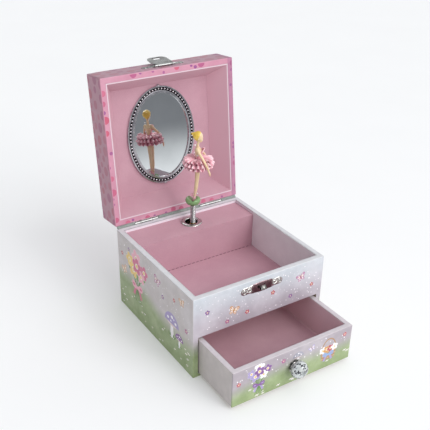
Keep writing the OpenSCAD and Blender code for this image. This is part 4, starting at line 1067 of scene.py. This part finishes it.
def catch_outline():
    """A long pressed lens with scalloped edges and a round lobe at each nail."""
    half = [(0, 5.4), (3, 5.35), (6, 5.1), (7.6, 4.75), (9, 4.95), (11.5, 4.6), (13.6, 3.95), (14.6, 3.6), (15.8, 3.85),
            (17.6, 3.9), (20, 3.9)]
    lobe = half[-1][1]
    half += [(NAIL_X + lobe * sin(a), lobe * cos(a)) for a in (0.35, 0.75, 1.15, 1.5708)]
    top = [(-x, z) for x, z in reversed(half[1:])] + half
    return top + [(x, -z) for x, z in reversed(top[1:-1])]


def catch_strap():
    """The strap that the flap's slot drops over: out, down over a rounded nose and back."""
    outer = [(0.0, 1.6), (0.9, 1.6), (2.4, 0.6), (3.3, -0.7), (3.45, -1.35), (3.3, -1.95), (2.7, -2.25), (0.0, -1.9)]
    inner = [(0.0, -1.3), (2.5, -1.6), (2.85, -1.4), (2.75, -0.9), (2.0, 0.1), (0.75, 1.0), (0.0, 1.0)]
    n = len(outer + inner)
    verts = [(x, -HALF_D - 0.75 - out, CATCH_Z + up) for x in (-3.0, 3.0) for out, up in outer + inner]
    faces = [(k, (k + 1) % n, n + (k + 1) % n, n + k) for k in range(n)]
    across = [(0, 14), (1, 13), (2, 12), (3, 11), (4, 10), (5, 10), (6, 9), (7, 8)]
    for (a, b), (c, d) in zip(across, across[1:]):
        side = [a, c, d] if b == d else [a, c, d, b]
        faces += [tuple(side), tuple(n + k for k in reversed(side))]
    return verts, faces


line = catch_outline()
n = len(line)
layers = [(1.0, 0.0), (1.0, 0.55), (0.93, 0.8)]  # the last two make a rolled edge
verts = [(x, -HALF_D - out, CATCH_Z + z * k) for k, out in layers for x, z in line]
faces = [tuple(range(n)), tuple(2 * n + k for k in reversed(range(n)))]
faces += [(m * n + k, (m + 1) * n + k, (m + 1) * n + (k + 1) % n, m * n + (k + 1) % n)
          for m in range(2) for k in range(n)]
CURL = [(17.4, 0.2), (16.2, 1.3), (14.6, 1.9), (12.9, 1.6), (12.0, 0.7), (12.6, 0.1), (13.3, 0.5)]
relief = []
for end in (-1, 1):
    to_nail = Matrix.Translation((end * NAIL_X, -HALF_D - 0.8, CATCH_Z)) @ QUARTER
    relief.append(tube([to_nail @ Vector((2.35 * c, 2.35 * s, 0)) for c, s in circle(24)], 0.45, 8, closed=True))
    for side in (-1, 1):  # scrolls that run from the nail towards the middle
        path = [Vector((end * x, -HALF_D - 0.85, CATCH_Z + side * z)) for x, z in CURL]
        relief.append(tube(path, [0.6, 0.6, 0.55, 0.5, 0.45, 0.4, 0.3], 8))
        to_bead = Matrix.Translation((0, -HALF_D - 0.85, CATCH_Z + side * 2.6))
        relief.append(moved(ball(end * 10.6, 0, 0, 0.6, steps=12), to_bead))
new_object("catch_relief", *joined([*relief, catch_strap()]), "box", "catch", slot="nickel")
plate = new_object("catch_strip", verts, faces, "box", "catch", smooth=False, slot="nickel")
for end in (-1, 1):
    bore = [(end * NAIL_X + BORE_R * c, y, CATCH_Z + BORE_R * s)
            for y in (-HALF_D - 2.0, -HALF_D + 1.0) for c, s in circle(20)]
    caps = [tuple(range(20)), tuple(range(39, 19, -1))]
    walls = [(k, 20 + k, 20 + (k + 1) % 20, (k + 1) % 20) for k in range(20)]
    trim(plate, new_object("bore", bore, caps + walls))
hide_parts("catch_plate")

# ---------- knob ----------


def stone(rings, sides=16):
    """Cut stone about Z: each ring of corners sits half a step round from the one below."""
    v = [(KNOB_R * k * cos(t), KNOB_R * k * sin(t), z) for i, (k, z) in enumerate(rings)
         for t in (tau * (m + (i % 2) / 2) / sides for m in range(sides))]
    f = [tuple(reversed(range(sides))), tuple((len(rings) - 1) * sides + m for m in range(sides))]
    for i in range(len(rings) - 1):
        for m in range(sides):
            a, b = i * sides + m, i * sides + (m + 1) % sides
            c, d = a + sides, b + sides
            f += [(a, d, c), (a, b, d)] if i % 2 else [(a, b, c), (b, d, c)]
    return v, f


to_front = Matrix.Translation((0, DRAWER_Y0 - 1.4, KNOB_Z)) @ QUARTER
STONE = [(0.40, 0.0), (0.40, 1.2), (0.66, 1.6), (0.88, 3.2), (0.98, 4.8), (1.0, 6.3), (0.975, 7.8), (0.90, 9.4),
         (0.79, 10.8), (0.64, 11.9), (0.46, 12.7), (0.25, 13.2)]
FOIL = [(0.34, 2.4), (0.84, 4.4), (0.70, 5.4), (0.40, 6.4), (0.12, 7.6)]
knob = new_object("knob_stone", *moved(stone(STONE), to_front), "drawer", "crystal", smooth=False, slot="crystal")
# Painted reflections: each facet gets a random tone, near-black, grey or white, the white ones painted glints.
shade, facet_glint_values = random.Random(77), []
for poly in knob.data.polygons:
    pick = shade.random()
    glint_tone = (0.02, 0.02, 0.03) if pick < 0.26 else (0.5, 0.54, 0.55) if pick < 0.42 else (0.96, 1.0, 0.99)
    facet_glint_values += [*glint_tone, 1.0] * len(poly.vertices)
knob.data.color_attributes.new("facet", "FLOAT_COLOR", "CORNER").data.foreach_set("color", facet_glint_values)
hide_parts("crystal_knob")
new_object("knob_foil", *moved(stone(FOIL), to_front), "drawer", "foil", smooth=False, slot="nickel")

# ---------- dancer, in her own frame: x is where she faces ----------


def chain(*points):
    """A tapered round limb through (x, y, z, r) points, smoothed between them, with round ends."""
    path, radii = [], []
    for i in range(len(points) - 1):
        p0, p1, p2, p3 = (Vector(points[max(0, min(len(points) - 1, i + d))]) for d in (-1, 0, 1, 2))
        for t in (k / 6 for k in range(6)):
            q = 0.5 * ((2 * p1) + (p2 - p0) * t + (2 * p0 - 5 * p1 + 4 * p2 - p3) * t * t
                       + (3 * p1 - p0 - 3 * p2 + p3) * t ** 3)
            path.append(q.to_3d())
            radii.append(q[3])
    path.append(Vector(points[-1][:3]))
    radii.append(points[-1][3])
    return [tube(path, radii, 16)] + [ball(*p[:3], p[3] * 0.99) for p in (points[0], points[-1])]


def doll_part(name, parts, mat, slot):
    return new_object(name, *joined(parts), "dancer", mat, DANCER, slot=slot)


def fused(name, parts, voxel, mat, smoothing, slot=None):
    """Overlapping forms melted into one smooth skin."""
    obj = new_object(name, *joined(parts), None, mat, DANCER, slot=slot)
    m = obj.modifiers.new("remesh", "REMESH")
    m.mode, m.voxel_size, m.use_smooth_shade = "VOXEL", voxel * MM, True
    m = obj.modifiers.new("smooth", "SMOOTH")
    m.factor, m.iterations = 0.5, smoothing
    apply_modifiers(obj, smooth=True)
    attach(obj, "dancer")
    return obj


figure = []
for side in (-1, 1):
    figure += chain((4.7, side * 1.6, 34, 2.6), (4.5, side * 1.4, 27, 2.4), (3.8, side * 1.2, 18, 1.95),
                    (3.3, side * 1.1, 13.5, 2.0), (2.4, side * 0.95, 7.5, 1.6), (1.7, side * 0.8, 3, 1.35),
                    (1.0, side * 0.78, 0.0, 1.2), (0.5, side * 0.75, -3.0, 0.6))
    figure += chain((4.6, side * 3.7, 56.0, 1.85), (6.9, side * 6.2, 52.3, 1.6), (10.9, side * 9.3, 46.6, 1.35),
                    (13.8, side * 10.5, 41.2, 1.3), (16.2, side * 10.3, 35.6, 0.92), (17.1, side * 10.0, 33.2, 1.08),
                    (17.8, side * 9.7, 30.0, 0.6))
    figure.append(ball(7.2, side * 1.7, 53.0, 1.9))
figure += chain((5.0, 0, 32.5, 3.3), (5.2, 0, 38, 2.9), (5.3, 0, 44, 2.4), (5.2, 0, 50, 2.9), (5.0, 0, 54, 3.3))
figure += [ball(5.0, 0, 54.0, 3.4, 0.95, 1.25, 0.9), ball(4.8, 0, 56.0, 2.3, 1.0, 1.5, 0.7)]
figure += chain((4.8, 0, 55.5, 2.0), (4.9, 0, 59, 1.35), (5.4, 0, 64.2, 1.5))
figure += [ball(5.9, 0, 68.6, 4.3, 0.96, 0.93, 1.2), ball(7.3, 0, 65.4, 2.75, 1.0, 0.9, 1.0), ball(8.0, 0, 63.8, 1.3),
           ball(9.8, 0, 67.6, 0.5, 1.3, 0.8, 0.9), ball(5.4, -3.9, 67.0, 0.9, 0.9, 0.5, 1.2),
           ball(5.4, 3.9, 67.0, 0.9, 0.9, 0.5, 1.2)]

# Lily pad: a fat rounded disc with a notch for the feet that closes towards the front
PAD = [(0.0, -10.3), (2.2, -10.3), (2.2, -6.9), (4.6, -6.6), (6.5, -5.6), (7.6, -4.0), (8.0, -2.6), (7.9, -1.2),
       (7.3, 0.0), (6.2, 0.7), (4.5, 0.95), (0.0, 0.9)]
NOTCH = [(-9.0, 1.6, 0.2), (-3.0, 4.9, 3.6), (0.0, 5.6, 4.6), (9.0, 5.6, 4.6)]  # along y: half width, depth
pad = new_object("lily_pad", *lathe(PAD, 72), "dancer", "pad", DANCER, slot="pad_green")
verts = [c for y, half, deep in NOTCH for c in ((-half, y, 2.0), (0.0, y, -deep), (half, y, 2.0))]
faces = [(0, 2, 1), (9, 10, 11)]
faces += [(3 * k + m, 3 * k + (m + 1) % 3, 3 * k + 3 + (m + 1) % 3, 3 * k + 3 + m) for k in range(3) for m in range(3)]
trim(pad, new_object("notch", verts, faces, matrix=DANCER))
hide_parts("dancer_pad")

body_skin = fused("doll_body", figure, 0.36, "skin", 4, "skin")
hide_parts("dancer_figure")

hair = [ball(5.5, 0, 69.1, 4.75, 1.0, 0.98, 1.04)]
hair += chain((4.4, 0, 69.3, 4.5), (2.6, 0, 70.2, 3.4), (0.8, 0, 71.0, 2.2), (-1.3, 0, 71.8, 0.7))
hair += chain((4.4, 0, 68.0, 3.5), (3.9, 0, 66.2, 2.4), (3.9, 0, 64.8, 1.1))
hair_obj = fused("doll_hair", hair, 0.34, "hair", 2)
to_doll = (Matrix.Scale(MM, 4) @ DANCER).inverted()
for v in hair_obj.data.vertices:  # cut along the hairline, and combed back to the bun
    q = to_doll @ v.co
    q.x = min(q.x, 3.9 + 0.46 * (q.z - 64.4))
    lock = atan2(q.z - BUN_Z, q.y + 1e-6)
    depth = 0.17 * sin(lock * 17) * min(1.0, max(0.0, (9.0 - q.x) / 5))
    out = Vector((0, q.y, q.z - BUN_Z))
    q += out.normalized() * depth if out.length > 0.4 else Vector()
    v.co = to_doll.inverted() @ q
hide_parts("dancer_hair")

shoes, ribbons = [], []
for side in (-1, 1):
    shoes += chain((0.5, side * 0.75, -3.15, 0.8), (0.9, side * 0.77, -1.2, 1.4), (1.2, side * 0.79, 0.4, 1.65),
                   (1.55, side * 0.8, 2.3, 1.6))
    turn = [(k, tau * k / 12) for k in range(25)]
    ribbons.append(tube([(1.9 + 0.03 * k + 1.72 * cos(a), side * 0.85 + 1.72 * sin(a), 3.2 + 0.24 * k + 0.2 * sin(a))
                         for k, a in turn], 0.22, 6))
fused("ballet_shoes", shoes, 0.3, "shoe", 2, "tutu")
for lean in (-1, 1):  # the knot's loops behind the ankle
    knot = [(-0.4 - 1.5 * sin(t), -1.9 * lean * 0.5 + 0.9 * lean * cos(t) - 0.6, 4.2 + 1.2 * sin(2 * t) * lean)
            for t in (tau * k / 16 for k in range(16))]
    ribbons.append(tube(knot, 0.26, 6, closed=True))
doll_part("shoe_ribbons", ribbons, "shoe", "tutu")

# Painted face: eyes, brows and a small closed mouth
face = [ball(9.2, side * 1.55, 68.6, 0.36, 0.45, 0.9, 1.0, 12) for side in (-1, 1)]
face += [tube([(8.7, side * 2.3, 70.0), (9.25, side * 1.6, 70.3), (9.45, side * 0.95, 70.1)], [0.08, 0.13, 0.08], 6)
         for side in (-1, 1)]
doll_part("doll_eyes", face, "eye", "skin")
MOUTH = [(9.2, -0.85, 65.75), (9.75, -0.3, 65.7), (9.85, 0.0, 65.65), (9.75, 0.3, 65.7), (9.2, 0.85, 65.75)]
doll_part("doll_lips", [tube(MOUTH, [0.1, 0.24, 0.2, 0.24, 0.1], 8)], "lip", "skin")

# Satin: a bodice, a frill at the bust, a rose at the waist and three gathered flounces
bodice = chain((5.4, 0, 42.5, 2.95), (5.5, 0, 45, 2.75), (5.8, 0, 48, 2.95), (6.3, 0, 50.4, 3.1))
bodice += [ball(7.4, -1.7, 52.2, 2.3), ball(7.4, 1.7, 52.2, 2.3)]
bodice_obj = fused("bodice", bodice, 0.34, "satin", 3, "tutu")


def fold_shading(obj, values):
    """How the satin's colour reads each point: 0 in a fold's depth, a painted shade, 1 on its crest, a painted sheen.
    """
    obj.data.attributes.new("fold", "FLOAT", "POINT").data.foreach_set("value", values)


def satin_cloth(name, verts, faces, folds, thick=0.14):
    """A thin satin piece from one layer of four-sided faces."""
    obj = new_object(name, verts, faces, None, "satin", DANCER, slot="tutu")
    fold_shading(obj, folds)
    solidify(obj, "cloth", thick)
    sub = obj.modifiers.new("round", "SUBSURF")
    sub.levels = sub.render_levels = 1
    apply_modifiers(obj, smooth=True)
    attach(obj, "dancer")
    return obj


def ruffle(name, cols, rows, shape, *thick):
    """A strip of satin: shape gives a point and its fold value, which sets the painted shade and sheen, at t along the
    strip and q across it.
    """
    made = [shape(i / (cols - 1), m / (rows - 1)) for i in range(cols) for m in range(rows)]
    return satin_cloth(name, [p for p, _ in made], grid_faces(cols, rows), [fold for _, fold in made], *thick)


fold_shading(bodice_obj, [0.5] * len(bodice_obj.data.vertices))


def flounce(name, heights, radii, waves, seed, reach, deep=2.0, steps=360, rows=14, start=0.25):
    """A ring of satin gathered at its inner edge, whose pleats open into rounded flutes at the hem.
    reach is how far the cloth may stand out under the arms."""
    r = random.Random(seed)
    amp = [r.uniform(0.8, 1.2) for _ in range(waves + 1)]
    shift = [r.uniform(-0.16, 0.16) for _ in range(waves + 1)]
    amp[-1], shift[-1] = amp[0], shift[0]
    verts, folds = [], []

    def line(q):
        return tuple(np.interp(q, [0, 0.35, 0.72, 1.0], values) for values in (radii, heights))

    for i in range(steps):
        w = waves * i / steps
        k, t = int(w), w - int(w)
        ease = t * t * (3 - 2 * t)
        a = amp[k] * (1 - ease) + amp[k + 1] * ease
        phase = tau * (w + shift[k] * (1 - ease) + shift[k + 1] * ease)
        wave, third = sin(phase), FLUTES * sin(3 * phase)
        turn_at = tau * i / steps
        away = degrees(abs((turn_at + pi) % tau - pi))
        dent = exp(-((away - 50.0) / 13.0) ** 2)  # the arms press the cloth in 50 degrees off the front
        for m in range(rows):
            q = m / (rows - 1)
            (rad, high), (rad2, high2), (rad1, high1) = line(q), line(q + 0.02), line(q - 0.02)
            along = Vector((rad2 - rad1, 0, high2 - high1)).normalized()
            grow = max(0.0, (q - start) / (1 - start))
            lift = deep * grow * a * (wave + third) + third * sin(pi * q)
            if rad > reach:
                rad -= (rad - reach) * dent
            angle = turn_at + 0.5 * a * grow * sin(2 * phase) / max(rad, 4)
            rad += -along.z * lift
            high += along.x * lift
            verts.append((SKIRT_X + rad * cos(angle), rad * sin(angle), high))
            # The fold value: 0 in a pleat's depth, where the satin paints shade, to 1 on its crest, where it paints a
            # sheen.
            folds.append(0.5 + 0.5 * wave * min(1.0, grow * 1.6))
    faces = grid_faces(steps, rows, True)
    for f in faces:
        a, b, c, d = (Vector(verts[n]) for n in f)
    obj = satin_cloth(name, verts, faces, folds)
    return obj


def frill(t, q):
    """Stands up round the front of the bust."""
    a, edge, phase = radians(-78 + 156 * t), sin(pi * t) ** 0.4, tau * 8 * t
    wave = sin(phase) * q
    rad = 3.9 + 2.0 * q + 0.7 * wave
    # The second value sets the painted shade in the wave troughs and the painted sheen on the crests.
    return (5.9 + rad * cos(a), 0.95 * rad * sin(a), 50.6 + (5.6 * edge) * q + 0.5 * cos(phase) * q), 0.62 + 0.38 * wave


def rose(t, q):
    """A rolled ribbon that lies on the upper flounce."""
    a = tau * 3.2 * t
    rad = 0.35 + 2.1 * t + 0.7 * q * (0.4 + t) + 0.18 * sin(5 * a) * q * t
    # The second value paints shade along the ribbon's inner edge and turns paler to its outer edge.
    return (4.4 + rad * cos(a), -11.6 + 0.9 * rad * sin(a) - 1.3 * q,
            46.6 + 1.5 * q - 0.7 * t * q + 0.35 * rad * sin(a)), 0.25 + 0.75 * q


bust_frill = ruffle("bust_frill", 73, 6, frill)
waist_rose = ruffle("waist_rose", 61, 4, rose, 0.12)
upper = flounce("upper_flounce", (45.0, 45.8, 45.4, 44.0), (3.1, 7.6, 12.2, 14.6), 18, 3, 9.3,
                start=0.08)
flounce("middle_flounce", (43.6, 43.8, 42.4, 39.8), (3.1, 8.2, 13.2, 15.9), 19, 5, 10.4, deep=1.7)
flounce("lower_flounce", (42.0, 41.2, 39.0, 36.2), (3.1, 7.8, 12.4, 14.7), 17, 8, 11.6, deep=1.7)
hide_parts("dancer_skirt")

PEARLS = ((2.2, -1.9, 60.2, 0.85), (4.8, -4.1, 49.8, 0.95), (4.6, -1.6, 6.4, 0.85), (9.0, 0.0, 49.6, 0.55),
          (4.3, -3.6, 49.4, 0.8))
doll_part("pearls", [ball(*p, steps=14) for p in PEARLS], "pearl", "tutu")

# ---------- floor and light ----------

corners = [(-4000, -4000, -0.2), (4000, -4000, -0.2), (4000, 4000, -0.2), (-4000, 4000, -0.2)]
floor = new_object("floor", corners, [(0, 1, 2, 3)], None, "floor", smooth=False)

world = bpy.data.worlds.new("studio")
scene.world = world
world.use_nodes = True
sky = world.node_tree
back = sky.nodes["Background"]
back.inputs[0].default_value = (0.97, 0.985, 1.0, 1)
way = sky.nodes.new("ShaderNodeTexCoord")
facing = sky.nodes.new("ShaderNodeVectorMath")
facing.operation = "DOT_PRODUCT"
facing.inputs[1].default_value = (0.62, -0.38, 0.69)  # where the soft light comes from
level = sky.nodes.new("ShaderNodeMapRange")
for socket, value in zip((1, 2, 3, 4), (-1.0, 1.0, 0.0, 1.04)):
    level.inputs[socket].default_value = value
ray = sky.nodes.new("ShaderNodeLightPath")
pick = sky.nodes.new("ShaderNodeMix")  # a view that looks over the floor's edge sees a plain pale wall
pick.inputs["B"].default_value = 0.9
for a, b in ((way.outputs["Generated"], facing.inputs[0]), (facing.outputs["Value"], level.inputs[0]),
             (ray.outputs["Is Camera Ray"], pick.inputs["Factor"]), (level.outputs[0], pick.inputs["A"]),
             (pick.outputs["Result"], back.inputs[1])):
    sky.links.new(a, b)


def light(name, kind, pos, energy, color=(1, 1, 1), **settings):
    """A light at pos that faces the object; for a sun only its direction counts."""
    data = bpy.data.lights.new(name, kind)
    for key, value in {"energy": energy, "color": color, **settings}.items():
        setattr(data, key, value)
    obj = bpy.data.objects.new(name, data)
    scene.collection.objects.link(obj)
    obj.location = pos
    obj.rotation_euler = (Vector((0, 0, 0.08)) - Vector(pos)).to_track_quat("-Z", "Y").to_euler()


light("key", "SUN", (0.35, -0.9, 0.8), 1.2, angle=radians(45))
light("glint", "AREA", (0.25, -1.1, 0.75), 1.6, (1.0, 0.98, 0.96), size=0.16)
